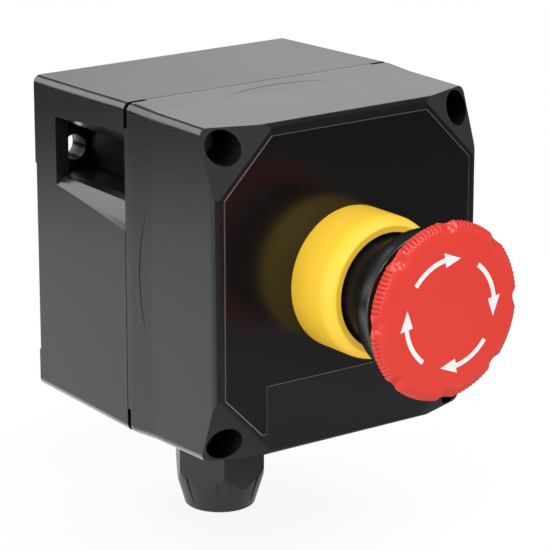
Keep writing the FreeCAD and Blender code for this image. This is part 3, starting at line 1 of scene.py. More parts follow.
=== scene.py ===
"""Looks of an emergency stop station: finishes, knurled cap, arrows, screws, springs and studio."""
import json
import logging
import math
from dataclasses import dataclass
from enum import Enum
from typing import Callable, Optional, Sequence, Union

import bpy
from bpy.types import Material, Node, NodeSocket, NodeTree
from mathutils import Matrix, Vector


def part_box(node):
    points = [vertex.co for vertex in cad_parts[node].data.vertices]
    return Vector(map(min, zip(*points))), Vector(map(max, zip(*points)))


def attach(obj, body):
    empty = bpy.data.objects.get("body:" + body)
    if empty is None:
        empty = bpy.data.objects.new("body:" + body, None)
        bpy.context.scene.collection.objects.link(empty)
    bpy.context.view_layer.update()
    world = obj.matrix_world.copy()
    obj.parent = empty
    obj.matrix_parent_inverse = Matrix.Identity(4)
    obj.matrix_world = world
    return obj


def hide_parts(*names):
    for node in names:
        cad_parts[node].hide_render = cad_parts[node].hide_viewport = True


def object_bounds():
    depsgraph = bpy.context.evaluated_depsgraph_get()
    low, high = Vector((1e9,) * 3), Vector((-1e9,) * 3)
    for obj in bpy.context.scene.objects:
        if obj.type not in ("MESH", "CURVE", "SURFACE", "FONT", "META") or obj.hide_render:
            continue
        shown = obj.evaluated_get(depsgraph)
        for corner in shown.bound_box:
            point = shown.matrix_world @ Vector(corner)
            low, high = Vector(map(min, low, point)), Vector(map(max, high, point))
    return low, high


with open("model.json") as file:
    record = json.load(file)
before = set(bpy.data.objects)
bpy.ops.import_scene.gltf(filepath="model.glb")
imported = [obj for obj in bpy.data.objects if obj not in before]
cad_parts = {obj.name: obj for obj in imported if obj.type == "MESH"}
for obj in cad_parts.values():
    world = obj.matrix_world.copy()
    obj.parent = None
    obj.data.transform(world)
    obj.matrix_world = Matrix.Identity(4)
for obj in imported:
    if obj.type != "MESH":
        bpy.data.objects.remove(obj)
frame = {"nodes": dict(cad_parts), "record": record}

LOG = logging.getLogger("stop_station")
CAD_BOX = [list(corner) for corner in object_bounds()]

Triple = tuple[float, float, float]
Colour = Triple
Point = tuple[float, float]
Limits = tuple[float, float]

MM = 0.001
FULL_TURN = 360.0
ORIGIN = (0.0, 0.0, 0.0)
SAME_PLACE = 1e-6  # metres within which two places are one
ACROSS_AXIS = (math.pi / 2, 0.0, 0.0)  # turn that lays a primitive square to the button's axis
HEXAGON = 6

WHITE = (1.0, 1.0, 1.0)
UNSTRETCHED = (1.0, 1.0, 1.0)
STREAK_STRETCH = (0.1, 0.45, 1.0)
UPPER_LEFT = (-0.707, 0.0, 0.707)
NOISE_MIDDLE = 0.5
ROUGH_DETAIL = 3.0
HOLLOW_SAMPLES = 8


class Body(Enum):
    """Bodies that new pieces ride on."""

    HOUSING = "housing"
    KNOB = "knob"


class Slot(Enum):
    """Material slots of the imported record."""

    HOUSING_BLACK = "housing_black"
    PLATE_BLACK = "plate_black"
    SEAL_RUBBER = "seal_rubber"
    SCREW_STEEL = "screw_steel"
    SPRING_STEEL = "spring_steel"
    INSERT_BRASS = "insert_brass"
    COLLAR_YELLOW = "collar_yellow"
    CAP_RED = "cap_red"
    NECK_BLACK = "neck_black"
    NYLON_GREY = "nylon_grey"
    NYLON_NATURAL = "nylon_natural"
    CONTACT_BRASS = "contact_brass"
    GLAND_BLACK = "gland_black"


class Element(Enum):
    """Elements of a mesh that edit mode selects."""

    VERTEX = "VERT"
    EDGE = "EDGE"


class Ray(Enum):
    """Kinds of rays that the studio tells apart."""

    CAMERA = "Is Camera Ray"
    GLOSSY = "Is Glossy Ray"
    TRANSMISSION = "Is Transmission Ray"


@dataclass(frozen=True)
class Value:
    """A number in a shader that takes part in Python arithmetic."""

    shader: "Shader"
    socket: NodeSocket

    def __add__(self, other: "Number") -> "Value":
        """Sum of two numbers."""
        return self.shader.math("ADD", self, other)

    __radd__ = __add__

    def __sub__(self, other: "Number") -> "Value":
        """Difference of two numbers."""
        return self.shader.math("SUBTRACT", self, other)

    def __rsub__(self, other: "Number") -> "Value":
        """Difference with a plain number on the left."""
        return self.shader.math("SUBTRACT", other, self)

    def __mul__(self, other: "Number") -> "Value":
        """Product of two numbers."""
        return self.shader.math("MULTIPLY", self, other)

    __rmul__ = __mul__

    def __or__(self, other: "Number") -> "Value":
        """Larger of two numbers, which joins two masks."""
        return self.shader.math("MAXIMUM", self, other)

    def __abs__(self) -> "Value":
        """Size of the number without its sign."""
        return self.shader.math("ABSOLUTE", self, 0.0)


Number = Union[Value, float]
Source = Union[Value, NodeSocket, float, Sequence[float]]


class Shader:
    """One node tree, of a material or of the world."""

    def __init__(self, tree: NodeTree) -> None:
        """Take a tree over and clear its nodes."""
        self.tree = tree
        tree.nodes.clear()

    def feed(self, socket: NodeSocket, source: Source) -> None:
        """Link a socket, or set its own value.

        Args:
            socket: Input to fill.
            source: A value, another node's output, or plain numbers.
        """
        if isinstance(source, Value):
            source = source.socket
        if isinstance(source, NodeSocket):
            self.tree.links.new(source, socket)
        else:
            socket.default_value = source

    def node(self, kind: str, settings: Optional[dict] = None,
             inputs: Optional[dict] = None) -> Node:
        """Add a node.

        Args:
            kind: Blender's name for the node's type.
            settings: Properties of the node, set before its sockets.
            inputs: Values or links by the input's name or number.

        Returns:
            The new node.
        """
        made = self.tree.nodes.new(kind)
        for name, setting in (settings or {}).items():
            setattr(made, name, setting)
        for name, source in (inputs or {}).items():
            self.feed(made.inputs[name], source)
        return made

    def output(self, kind: str, name: str, settings: Optional[dict] = None,
               inputs: Optional[dict] = None) -> Value:
        """Add a node and take the output of one name."""
        return Value(self, self.node(kind, settings, inputs).outputs[name])

    def math(self, operation: str, first: Number, second: Number) -> Value:
        """Add one step of arithmetic on two numbers."""
        made = self.node("ShaderNodeMath", {"operation": operation}, {0: first, 1: second})
        return Value(self, made.outputs[0])

    def places(self, stretch: Triple = UNSTRETCHED) -> Value:
        """Places on the piece in metres, with a factor along each axis."""
        coordinates = self.output("ShaderNodeTexCoord", "Object")
        return self.output("ShaderNodeMapping", "Vector", {}, {"Vector": coordinates, "Scale": stretch})

    def normal(self) -> Value:
        """The way that the bare surface faces."""
        return self.output("ShaderNodeNewGeometry", "Normal")

    def parts(self, vector: Value) -> tuple[Value, Value, Value]:
        """The three components of a vector."""
        made = self.node("ShaderNodeSeparateXYZ", {}, {"Vector": vector})
        return tuple(Value(self, made.outputs[axis]) for axis in "XYZ")

    def along(self, vector: Value, way: Triple) -> Value:
        """How far a vector goes along a direction."""
        return self.output("ShaderNodeVectorMath", "Value", {"operation": "DOT_PRODUCT"}, {0: vector, 1: way})

    def noise(self, size: float, detail: float = 2.0, stretch: Triple = UNSTRETCHED) -> Value:
        """Noise between 0 and 1 with features of a size in millimetres."""
        return self.output("ShaderNodeTexNoise", "Fac", {"noise_dimensions": "3D"},
                           {"Vector": self.places(stretch), "Scale": 1.0 / (size * MM), "Detail": detail})

    def ramp(self, value: Value, low: float, high: float) -> Value:
        """Smooth step from 0 at low to 1 at high."""
        return self.output("ShaderNodeMapRange", "Result", {"interpolation_type": "SMOOTHSTEP"},
                           {"Value": value, "From Min": low, "From Max": high})

    def ray(self, kind: Ray) -> Value:
        """1 for rays of one kind, else 0."""
        return self.output("ShaderNodeLightPath", kind.value)

    def mirrored(self) -> Value:
        """1 for rays off or through a glossy surface, else 0."""
        return self.ray(Ray.GLOSSY) | self.ray(Ray.TRANSMISSION)

    def bump(self, height: Value) -> Value:
        """Way that a surface faces with a height in millimetres on it."""
        return self.output("ShaderNodeBump", "Normal", {},
                           {"Height": height, "Distance": MM, "Strength": 1.0})

    def cover(self, share: Value, under: Source, over: Source) -> NodeSocket:
        """A colour laid over another.

        Args:
            share: Share of the upper colour.
            under: Colour below, of a node or four numbers.
            over: Colour on top, of a node or four numbers.

        Returns:
            The mixed colour.
        """
        made = self.node("ShaderNodeMix", {"data_type": "RGBA"})
        self.feed(made.inputs["Factor"], share)
        colours = [socket for socket in made.inputs if socket.type == "RGBA"]
        self.feed(colours[0], under)
        self.feed(colours[1], over)
        return next(socket for socket in made.outputs if socket.type == "RGBA")

    def blend(self, share: Value, first: Colour, second: Colour) -> NodeSocket:
        """Mix of two plain colours, from the first at 0 to the second at 1."""
        return self.cover(share, opaque(first), opaque(second))

    def diffuse(self, colour: Colour) -> Node:
        """Matt surface of one colour."""
        return self.node("ShaderNodeBsdfDiffuse", {}, {"Color": opaque(colour)})

    def layer(self, share: Value, under: Node, over: Node) -> Node:
        """A surface laid over another with a share from 0 to 1."""
        return self.node("ShaderNodeMixShader", {}, {0: share, 1: under.outputs[0], 2: over.outputs[0]})

    def close(self, surface: Node, kind: str = "ShaderNodeOutputMaterial") -> None:
        """Link the last shader to an output node of a kind."""
        self.node(kind, {}, {"Surface": surface.outputs[0]})


def opaque(colour: Colour) -> tuple[float, float, float, float]:
    """A colour with nothing showing through."""
    return (*colour, 1.0)


def shade(colour: Colour, factor: float) -> Colour:
    """A linear colour made darker or lighter, at most 1."""
    return tuple(min(1.0, channel * factor) for channel in colour)


def smooth_step(value: float, low: float, high: float) -> float:
    """Smooth step from 0 at low to 1 at high."""
    share = max(0.0, min(1.0, (value - low) / (high - low)))
    return share * share * (3.0 - 2.0 * share)


def polar(place: Vector) -> Triple:
    """Radius and distance from the wall in millimetres, and degrees from +X towards +Z."""
    return (math.hypot(place.x, place.z) / MM, -place.y / MM, math.degrees(math.atan2(place.z, place.x)))


@dataclass(frozen=True)
class Finish:
    """What all finishes have; sizes in millimetres."""

    slot: Slot
    colour: Colour
    roughness: float
    mottle: float = 0.12
    cloud_size: float = 22.0
    label: Optional[str] = None

    def begin(self) -> tuple[Material, Shader]:
        """Make a new material.

        Returns:
            The material and its shader.
        """
        material = bpy.data.materials.new(self.label or self.slot.value)
        material.use_nodes = True
        material.diffuse_color = opaque(self.colour)
        return material, Shader(material.node_tree)

    def mottled(self, shader: Shader, tone: Value) -> NodeSocket:
        """The colour, darker where a tone is low and lighter where it is high."""
        dark, light = (shade(self.colour, factor) for factor in (1.0 - self.mottle, 1.0 + self.mottle))
        return shader.blend(tone, dark, light)

    def material(self) -> Material:
        """Material of this finish."""
        raise NotImplementedError


@dataclass(frozen=True)
class MouldedPlastic(Finish):
    """Plastic from a mould with an eroded grain, flow streaks and faint clouds; sizes in millimetres.

    Recess and seam say how far off walls count where painted shade darkens a hollow or a gap. The edge
    highlight tones are painted light on edges, strong where they face the upper left and faint where they
    face the lower right; polish holds the distances from the wall between which a glossy coat begins, and
    rubbed_edge the limits of such a coat on rounded edges.
    """

    ior: float = 1.5
    grain_size: float = 0.32
    grain_depth: float = 0.010
    grain_tone: float = 0.25
    grain_gloss: float = 0.4
    streak_size: float = 0.45
    streak_depth: float = 0.006
    streak_tone: float = 0.2
    cloud_tone: float = 0.55
    cloud_gloss: float = 0.6
    gloss_spread: float = 0.08
    recess: float = 0.0
    recess_open: Limits = (0.20, 0.66)
    seam: float = 0.0
    seam_open: Limits = (0.45, 0.85)
    # Darkness of the painted shade in hollows and seams, as a share of the colour.
    painted_shade: float = 0.3
    # Tones of a painted highlight on edges, and the limits of where it lies.
    edge_highlight_tones: Optional[tuple[float, float]] = None
    edge_highlight_side: Limits = (-0.25, 0.25)
    edge_highlight_lean: Limits = (-0.96, -0.85)
    polish: Optional[Limits] = None
    rubbed_edge: Optional[Limits] = None
    coat_ior: float = 1.9

    def material(self) -> Material:
        """Grain, streaks and clouds on a plain plastic.

        Returns:
            The material.
        """
        material, shader = self.begin()
        grain = shader.noise(self.grain_size, ROUGH_DETAIL)
        streak = shader.noise(self.streak_size, stretch=STREAK_STRETCH)
        cloud = shader.noise(self.cloud_size, ROUGH_DETAIL)
        tone = self.cloud_tone * cloud + self.grain_tone * grain + self.streak_tone * streak
        colour = self.mottled(shader, tone)
        # Painted highlight on edges that lean away from the front.
        if self.edge_highlight_tones:
            lean = shader.parts(shader.normal())[1]
            colour = shader.cover(shader.ramp(lean, *self.edge_highlight_lean), colour, self.painted_edge_highlight(shader))
        gloss = self.cloud_gloss * cloud + self.grain_gloss * grain - NOISE_MIDDLE
        inputs = {"Base Color": colour, "Roughness": self.roughness + gloss * self.gloss_spread,
                  "IOR": self.ior,
                  "Normal": shader.bump(grain * self.grain_depth + streak * self.streak_depth)}
        if self.polish or self.rubbed_edge:
            coat = self.polished(shader) if self.polish else self.rubbed(shader)
            inputs |= {"Coat Weight": coat, "Coat Roughness": self.roughness, "Coat IOR": self.coat_ior}
        surface = shader.node("ShaderNodeBsdfPrincipled", {}, inputs)
        # Painted shade in hollows and seams, found by ambient occlusion.
        if self.recess:
            surface = self.darken(shader, surface, self.recess, self.recess_open)
        if self.seam:
            surface = self.darken(shader, surface, self.seam, self.seam_open)
        shader.close(surface)
        return material

    def painted_edge_highlight(self, shader: Shader) -> NodeSocket:
        """Painted highlight of an edge, strong where it faces the upper left and faint towards the lower
        right.
        """
        lit, unlit = ((level,) * 3 for level in self.edge_highlight_tones)
        return shader.blend(shader.ramp(shader.along(shader.normal(), UPPER_LEFT), *self.edge_highlight_side),
                            unlit, lit)

    def polished(self, shader: Shader) -> Value:
        """Weight of a coat that begins at a distance from the wall."""
        distance = shader.parts(shader.places())[1] * (-1.0 / MM)
        return shader.ramp(distance, *self.polish)

    def rubbed(self, shader: Shader) -> Value:
        """Weight of a coat on rounded edges that run from front to back."""
        x, y, z = shader.parts(shader.normal())
        return shader.ramp((abs(x) + abs(z)) * math.sqrt(0.5) - abs(y), *self.rubbed_edge)

    def darken(self, shader: Shader, surface: Node, reach: float, sky: Limits) -> Node:
        """Paint shade into hollows: mix in a darker matt surface where ambient occlusion finds walls near.

        Args:
            shader: Shader of the material.
            surface: Shader node of the open surface.
            reach: How far off walls count, in millimetres.
            sky: Open share of the sky where a hollow is black, and from which nothing is darkened.

        Returns:
            The mixed shader node.
        """
        open_share = shader.output("ShaderNodeAmbientOcclusion", "AO", {"samples": HOLLOW_SAMPLES},
                                   {"Distance": reach * MM})
        painted_shade = shader.diffuse(shade(self.colour, self.painted_shade))
        return shader.layer(shader.ramp(open_share, *sky), painted_shade, surface)


@dataclass(frozen=True)
class WorkedMetal(Finish):
    """Metal with fine tool marks and a slightly tarnished tone; sizes in millimetres."""

    cloud_size: float = 3.0
    cloud_gloss: float = 0.12
    mark_size: float = 0.12
    mark_stretch: Triple = (0.25, 1.0, 0.25)
    mark_depth: float = 0.004
    mark_gloss: float = 0.08

    def material(self) -> Material:
        """Tool marks round the piece and clouds of tarnish.

        Returns:
            The material.
        """
        material, shader = self.begin()
        marks = shader.noise(self.mark_size, stretch=self.mark_stretch)
        cloud = shader.noise(self.cloud_size, ROUGH_DETAIL)
        gloss = (cloud - NOISE_MIDDLE) * self.cloud_gloss + (marks - NOISE_MIDDLE) * self.mark_gloss
        shader.close(shader.node("ShaderNodeBsdfPrincipled", {}, {
            "Base Color": self.mottled(shader, cloud), "Metallic": 1.0, "Roughness": self.roughness + gloss,
            "Normal": shader.bump(marks * self.mark_depth)}))
        return material


@dataclass(frozen=True)
class Rubber(Finish):
    """Matt rubber with a dusty bloom; sizes in millimetres."""

    cloud_size: float = 4.0
    bloom: float = 1.8
    bloom_share: Limits = (0.45, 0.8)
    pore_size: float = 0.2
    pore_depth: float = 0.012
    pore_gloss: float = 0.1

    def material(self) -> Material:
        """Fine pores and a pale bloom in patches.

        Returns:
            The material.
        """
        material, shader = self.begin()
        pores = shader.noise(self.pore_size)
        bloom = shader.ramp(shader.noise(self.cloud_size, ROUGH_DETAIL), *self.bloom_share)
        shader.close(shader.node("ShaderNodeBsdfPrincipled", {}, {
            "Base Color": shader.blend(bloom, self.colour, shade(self.colour, self.bloom)),
            "Roughness": self.roughness + self.pore_gloss * (pores - NOISE_MIDDLE),
            "Normal": shader.bump(pores * self.pore_depth)}))
        return material


FINISHES: tuple[Finish, ...] = (
    # The housing gets painted shade in its hollows and seams.
    MouldedPlastic(Slot.HOUSING_BLACK, (0.0075, 0.0075, 0.0078), 0.24, ior=1.58, grain_depth=0.012,
                   streak_depth=0.018, recess=10.0, seam=0.6, rubbed_edge=(0.73, 0.82), coat_ior=2.0),
    # The plate's edges get a painted highlight, strong towards the upper left.
    MouldedPlastic(Slot.PLATE_BLACK, (0.0042, 0.0042, 0.0044), 0.20, grain_depth=0.003, streak_depth=0.002,
                   gloss_spread=0.05, edge_highlight_tones=(0.06, 0.34)),
    Rubber(Slot.SEAL_RUBBER, (0.012, 0.012, 0.012), 0.75),
    WorkedMetal(Slot.SCREW_STEEL, (0.60, 0.60, 0.58), 0.30),
    WorkedMetal(Slot.SPRING_STEEL, (0.52, 0.52, 0.51), 0.26),
    WorkedMetal(Slot.INSERT_BRASS, (0.72, 0.52, 0.22), 0.28),
    MouldedPlastic(Slot.COLLAR_YELLOW, (0.92, 0.570, 0.038), 0.46, mottle=0.03, grain_depth=0.004,
                   streak_depth=0.002),
    MouldedPlastic(Slot.CAP_RED, (0.600, 0.038, 0.026), 0.20, mottle=0.05, grain_depth=0.004,
                   streak_depth=0.002),
    MouldedPlastic(Slot.NECK_BLACK, (0.0060, 0.0060, 0.0062), 0.27, ior=1.20, grain_depth=0.002,
                   streak_depth=0.001, gloss_spread=0.05, polish=(96.0, 97.2), coat_ior=1.68),
    MouldedPlastic(Slot.NYLON_GREY, (0.26, 0.27, 0.28), 0.48),
    MouldedPlastic(Slot.NYLON_NATURAL, (0.70, 0.66, 0.56), 0.45, mottle=0.05),
    WorkedMetal(Slot.CONTACT_BRASS, (0.76, 0.58, 0.30), 0.26),
    # The gland gets painted shade in its seams.
    MouldedPlastic(Slot.GLAND_BLACK, (0.0110, 0.0110, 0.0113), 0.33, ior=1.60, seam=0.6),
)
ARROW_INK = MouldedPlastic(Slot.CAP_RED, (0.68, 0.68, 0.676), 0.45, mottle=0.02, label="arrow_ink",
                           grain_depth=0.003, streak_depth=0.001)


class Bench:
    """Hand modelling of one piece with Blender's operators."""

    def __init__(self, name: str) -> None:
        """Take the primitive that was just added.

        Args:
            name: Name of the piece.
        """
        self.piece = bpy.context.object
        self.piece.name = name
        self.piece.data.name = name
        bpy.ops.object.transform_apply(location=True, rotation=True, scale=True)

    @staticmethod
    def clear() -> None:
        """Leave edit mode and deselect everything."""
        if bpy.context.object is not None and bpy.context.object.mode != "OBJECT":
            bpy.ops.object.mode_set(mode="OBJECT")
        bpy.ops.object.select_all(action="DESELECT")

    @classmethod
    def turned(cls, name: str, sides: int, profile: Sequence[Point]) -> "Bench":
        """Turn a piece about the button's axis.

        Args:
            name: Name of the piece.
            sides: Number of vertices of a ring.
            profile: Radius and distance from the wall of each ring, in millimetres. Both ends are closed
                where the last ring isn't the first again.

        Returns:
            The bench with the piece on it.
        """
        cls.clear()
        radius, distance = profile[0]
        bpy.ops.mesh.primitive_circle_add(vertices=sides, radius=radius * MM, fill_type="NOTHING",
                                          location=(0.0, -distance * MM, 0.0), rotation=ACROSS_AXIS)
        bench = cls(name)
        bench.edit(Element.EDGE)
        for next_radius, next_distance in profile[1:]:
            bench.extrude((0.0, (distance - next_distance) * MM, 0.0))
            factor = next_radius / radius
            bpy.ops.transform.resize(value=(factor, 1.0, factor),
                                     center_override=(0.0, -next_distance * MM, 0.0))
            radius, distance = next_radius, next_distance
        if profile[-1] != profile[0]:
            bench.close_ring()
            bench.pick(lambda place: math.dist(polar(place)[:2], profile[0]) < SAME_PLACE / MM)
            bench.close_ring()
        bench.outwards()
        return bench

    def edit(self, element: Element = Element.VERTEX, selected: bool = True) -> None:
        """Enter edit mode.

        Args:
            element: What is selected there.
            selected: Whether the whole mesh is selected, or nothing.
        """
        bpy.context.view_layer.objects.active = self.piece
        bpy.ops.object.mode_set(mode="EDIT")
        bpy.ops.mesh.select_mode(type=element.value)
        bpy.ops.mesh.select_all(action="SELECT" if selected else "DESELECT")

    def done(self) -> None:
        """Back to object mode with only this piece selected."""
        bpy.ops.object.mode_set(mode="OBJECT")
        bpy.ops.object.select_all(action="DESELECT")
        self.piece.select_set(True)
        bpy.context.view_layer.objects.active = self.piece

    def pick(self, wanted: Callable[[Vector], bool]) -> None:
        """Select vertices by their place.

        Args:
            wanted: Test on a vertex's place in metres.
        """
        self.edit(selected=False)
        bpy.ops.object.mode_set(mode="OBJECT")
        for vertex in self.piece.data.vertices:
            vertex.select = wanted(vertex.co)
        bpy.ops.object.mode_set(mode="EDIT")

    def extrude(self, way: Sequence[float] = ORIGIN) -> None:
        """Extrude the selection by a way in metres."""
        bpy.ops.mesh.extrude_region_move(TRANSFORM_OT_translate={"value": way})

    def close_ring(self) -> None:
        """Close the selected ring with faces that meet in its middle."""
        self.extrude()
        bpy.ops.mesh.merge(type="CENTER")

    def outwards(self) -> None:
        """Merge doubles and turn every face outwards."""
        self.edit()
        bpy.ops.mesh.remove_doubles(threshold=SAME_PLACE)
        bpy.ops.mesh.normals_make_consistent(inside=False)
        self.done()

    def modify(self, kind: str, **settings: object) -> None:
        """Add a modifier and apply it.

        Args:
            kind: Type of the modifier.
            settings: Its properties.
        """
        self.done()
        modifier = self.piece.modifiers.new(kind.lower(), kind)
        for name, setting in settings.items():
            setattr(modifier, name, setting)
        bpy.ops.object.modifier_apply(modifier=modifier.name)

    def press_in(self, group: str, weight: Callable[[Vector], float], depth: float) -> None:
        """Press the surface in where a weight says so.

        Args:
            group: Name of the vertex group.
            weight: Weight at a place in metres.
            depth: Full depth in millimetres.
        """
        made = self.piece.vertex_groups.new(name=group)
        for vertex in self.piece.data.vertices:
            amount = weight(vertex.co)
            if amount > 0.0:
                made.add([vertex.index], amount, "REPLACE")
        self.modify("DISPLACE", vertex_group=group, strength=-depth * MM, mid_level=0.0)

    def smooth(self, degrees: float) -> None:
        """Smooth shading, with edges sharper than an angle left crisp."""
        self.done()
        bpy.ops.object.shade_smooth_by_angle(angle=math.radians(degrees))

    def copy(self, name: str) -> "Bench":
        """Copy the piece with a mesh of its own.

        Args:
            name: Name of the copy.

        Returns:
            The bench with the copy on it.
        """
        self.done()
        bpy.ops.object.duplicate(linked=False)
        return Bench(name)

    def shift(self, way: Vector) -> None:
        """Move the whole mesh.

        Args:
            way: Way in metres.
        """
        self.edit()
        bpy.ops.transform.translate(value=way)
        self.done()

    def turn(self, degrees: float) -> None:
        """Turn the whole mesh about the button's axis.

        Args:
            degrees: Angle from +X towards +Z.
        """
        self.edit()
        bpy.ops.transform.rotate(value=math.radians(degrees), orient_axis="Y", center_override=ORIGIN)
        self.done()

    def hand_in(self, material: Material, body: Body, slot: Slot, *nodes: str) -> None:
        """Dress the piece and tie it to the frame.

        Args:
            material: Its material.
            body: Body that it rides on.
            slot: Slot of the record that it follows; not used.
            nodes: Solids that it stands for.
        """
        self.done()
        self.piece.data.materials.clear()
        self.piece.data.materials.append(material)
        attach(self.piece, body.value)
        if nodes:
            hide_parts(*nodes)
        LOG.info("%s: %d faces, rides on %s", self.piece.name, len(self.piece.data.polygons), body.value)


@dataclass
class MushroomCap:
    """Red cap with lobes, knurled shoulder and four printed arrows; sizes in millimetres.

    Slope holds shares of the way out and forward behind the rim, and crown_shares the rings of the domed
    front as shares of its radius. Arrow_tail and arrow_tip are angles from +X towards +Z.
    """

    back: float = 102.2
    socket_floor: float = 104.2
    shaft_end: float = 106.1
    shaft_radius: float = 3.95
    socket_radius: float = 13.0
    back_radius: float = 16.8
    radius: float = 20.0
    widest: float = 105.6
    face_radius: float = 16.9
    face: float = 108.1
    crown: float = 108.3
    slope: tuple[Point, ...] = (
        (0.0, 0.0), (0.04, 0.02), (0.25, 0.24), (0.5, 0.5), (0.7, 0.7), (0.84, 0.84), (0.92, 0.93),
        (0.975, 0.985))
    rim: tuple[Point, ...] = (
        (20.0, 105.65), (19.99, 105.95), (19.95, 106.25), (19.87, 106.48), (19.74, 106.68), (19.55, 106.88),
        (19.30, 107.12), (19.05, 107.36), (18.82, 107.55), (18.60, 107.69), (18.30, 107.81), (17.90, 107.92),
        (17.45, 108.02), (16.90, 108.10))
    crown_shares: tuple[float, ...] = (0.93, 0.85, 0.6, 0.3, 0.08)
    crisp_angle: float = 38.0
    lobes: int = 8
    steps_per_lobe: int = 135
    dip_half_angle: float = 7.6
    dip_depth: float = 0.95
    dip_start: float = 16.9
    dip_full: float = 19.0
    dip_back: float = 105.6
    dip_back_full: float = 107.0
    dip_at_lip: float = 0.5
    teeth_per_lobe: int = 10
    tooth_angle: float = 30.5
    tooth_depth: float = 0.46
    groove_front: float = 18.95
    groove_front_end: float = 0.25
    groove_back: float = 104.10
    groove_back_end: float = 0.90
    groove_sharpness: float = 1.6
    arrow_count: int = 4
    arrow_radius: float = 12.2
    arrow_tail: float = 142.0
    arrow_tip: float = 77.6
    arrow_stub: float = 0.3
    arrow_steps: int = 20
    shaft_width: float = 1.06
    head_width: float = 3.35
    head_length: float = 4.35
    ink_top: float = 108.20
    ink_depth: float = 0.12

    def profile(self) -> list[Point]:
        """Rings from the shaft's hole round the rim to the middle of the front.

        Returns:
            Radius and distance from the wall of each ring.
        """
        points = [(self.shaft_radius, self.shaft_end), (self.shaft_radius, self.socket_floor),
                  (self.socket_radius, self.socket_floor), (self.socket_radius, self.back)]
        for out, forward in self.slope:
            points.append((self.back_radius + (self.radius - self.back_radius) * out,
                           self.back + (self.widest - self.back) * forward))
        points += self.rim
        for share in self.crown_shares:
            points.append((self.face_radius * share, self.crown - (self.crown - self.face) * share))
        return points

    def dip_weight(self, place: Vector) -> float:
        """How much of a dip's depth a place takes.

        Args:
            place: Place in metres.

        Returns:
            Weight from 0 to 1.
        """
        radius, distance, angle = polar(place)
        lobe = FULL_TURN / self.lobes
        off = abs((angle + lobe / 2) % lobe - lobe / 2)
        if off >= self.dip_half_angle:
            return 0.0
        across = 0.5 + 0.5 * math.cos(math.pi * off / self.dip_half_angle)
        over_lip = smooth_step(distance, self.dip_back, self.dip_back_full)
        return (across * smooth_step(radius, self.dip_start, self.dip_full)
                * (self.dip_at_lip + (1.0 - self.dip_at_lip) * over_lip))

    def tooth_weight(self, place: Vector) -> float:
        """How much of a groove's depth a place takes.

        Args:
            place: Place in metres.

        Returns:
            Weight from 0 to 1.
        """
        radius, distance, angle = polar(place)
        lobe = FULL_TURN / self.lobes
        along = ((angle + FULL_TURN) % lobe - (lobe - self.tooth_angle) / 2) / self.tooth_angle
        if not 0.0 < along < 1.0 or distance < self.groove_back:
            return 0.0
        depth = 0.5 - 0.5 * math.cos(2.0 * math.pi * along * self.teeth_per_lobe)
        front = max(0.0, min(1.0, (radius - self.groove_front) / self.groove_front_end))
        back = min(1.0, (distance - self.groove_back) / self.groove_back_end)
        return depth ** self.groove_sharpness * front * back

    def build_cap(self, material: Material) -> None:
        """Turn the cap, press in the dips and cut the knurl.

        Args:
            material: Finish of the cap.
        """
        bench = Bench.turned("knurled_cap", self.lobes * self.steps_per_lobe, self.profile())
        bench.press_in("dips", self.dip_weight, self.dip_depth)
        bench.press_in("grooves", self.tooth_weight, self.tooth_depth)
        bench.piece.vertex_groups.clear()
        bench.smooth(self.crisp_angle)
        bench.hand_in(material, Body.KNOB, Slot.CAP_RED, "mushroom_cap")

    def build_arrows(self, material: Material) -> None:
        """Spin a shaft, widen it to a head, and copy the arrow round the cap.

        Args:
            material: Ink of the arrows.
        """
        Bench.clear()
        level = -self.ink_top * MM
        middle = -0.5 * self.arrow_stub * MM
        bpy.ops.mesh.primitive_plane_add(size=1.0, location=(self.arrow_radius * MM, level, middle),
                                         rotation=ACROSS_AXIS)
        bpy.context.object.scale = (self.shaft_width * MM, self.arrow_stub * MM, 1.0)
        bench = Bench("turn_arrow_1")
        head_angle = math.degrees(self.head_length / self.arrow_radius)
        stub_angle = math.degrees(self.arrow_stub / self.arrow_radius)
        sweep = self.arrow_tail - self.arrow_tip - head_angle - stub_angle
        bench.pick(lambda place: place.z < middle)
        bpy.ops.mesh.spin(steps=self.arrow_steps, angle=-math.radians(sweep), center=(0.0, level, 0.0),
                          axis=(0.0, 1.0, 0.0))
        base = self.on_circle(-stub_angle - sweep, level)
        tip = self.on_circle(-stub_angle - sweep - head_angle, level)
        bench.extrude()
        widen = self.head_width / self.shaft_width
        bpy.ops.transform.resize(value=(widen, widen, widen), center_override=base)
        bench.extrude(tip - base)
        bpy.ops.mesh.merge(type="CENTER")
        bench.outwards()
        bench.modify("SOLIDIFY", thickness=self.ink_depth * MM, offset=0.0)
        bench.outwards()
        for index in range(self.arrow_count):
            if index:
                bench = bench.copy("turn_arrow_%d" % (index + 1))
            bench.turn(FULL_TURN / self.arrow_count if index else self.arrow_tail)
            bench.hand_in(material, Body.KNOB, Slot.CAP_RED)

    def on_circle(self, degrees: float, level: float) -> Vector:
        """Place on the arrows' circle, by its angle from +X towards +Z and its y in metres."""
        angle = math.radians(degrees)
        return Vector((self.arrow_radius * MM * math.cos(angle), level,
                       self.arrow_radius * MM * math.sin(angle)))

    def build(self, red: Material, ink: Material) -> None:
        """Make the cap and its arrows."""
        self.build_cap(red)
        self.build_arrows(ink)


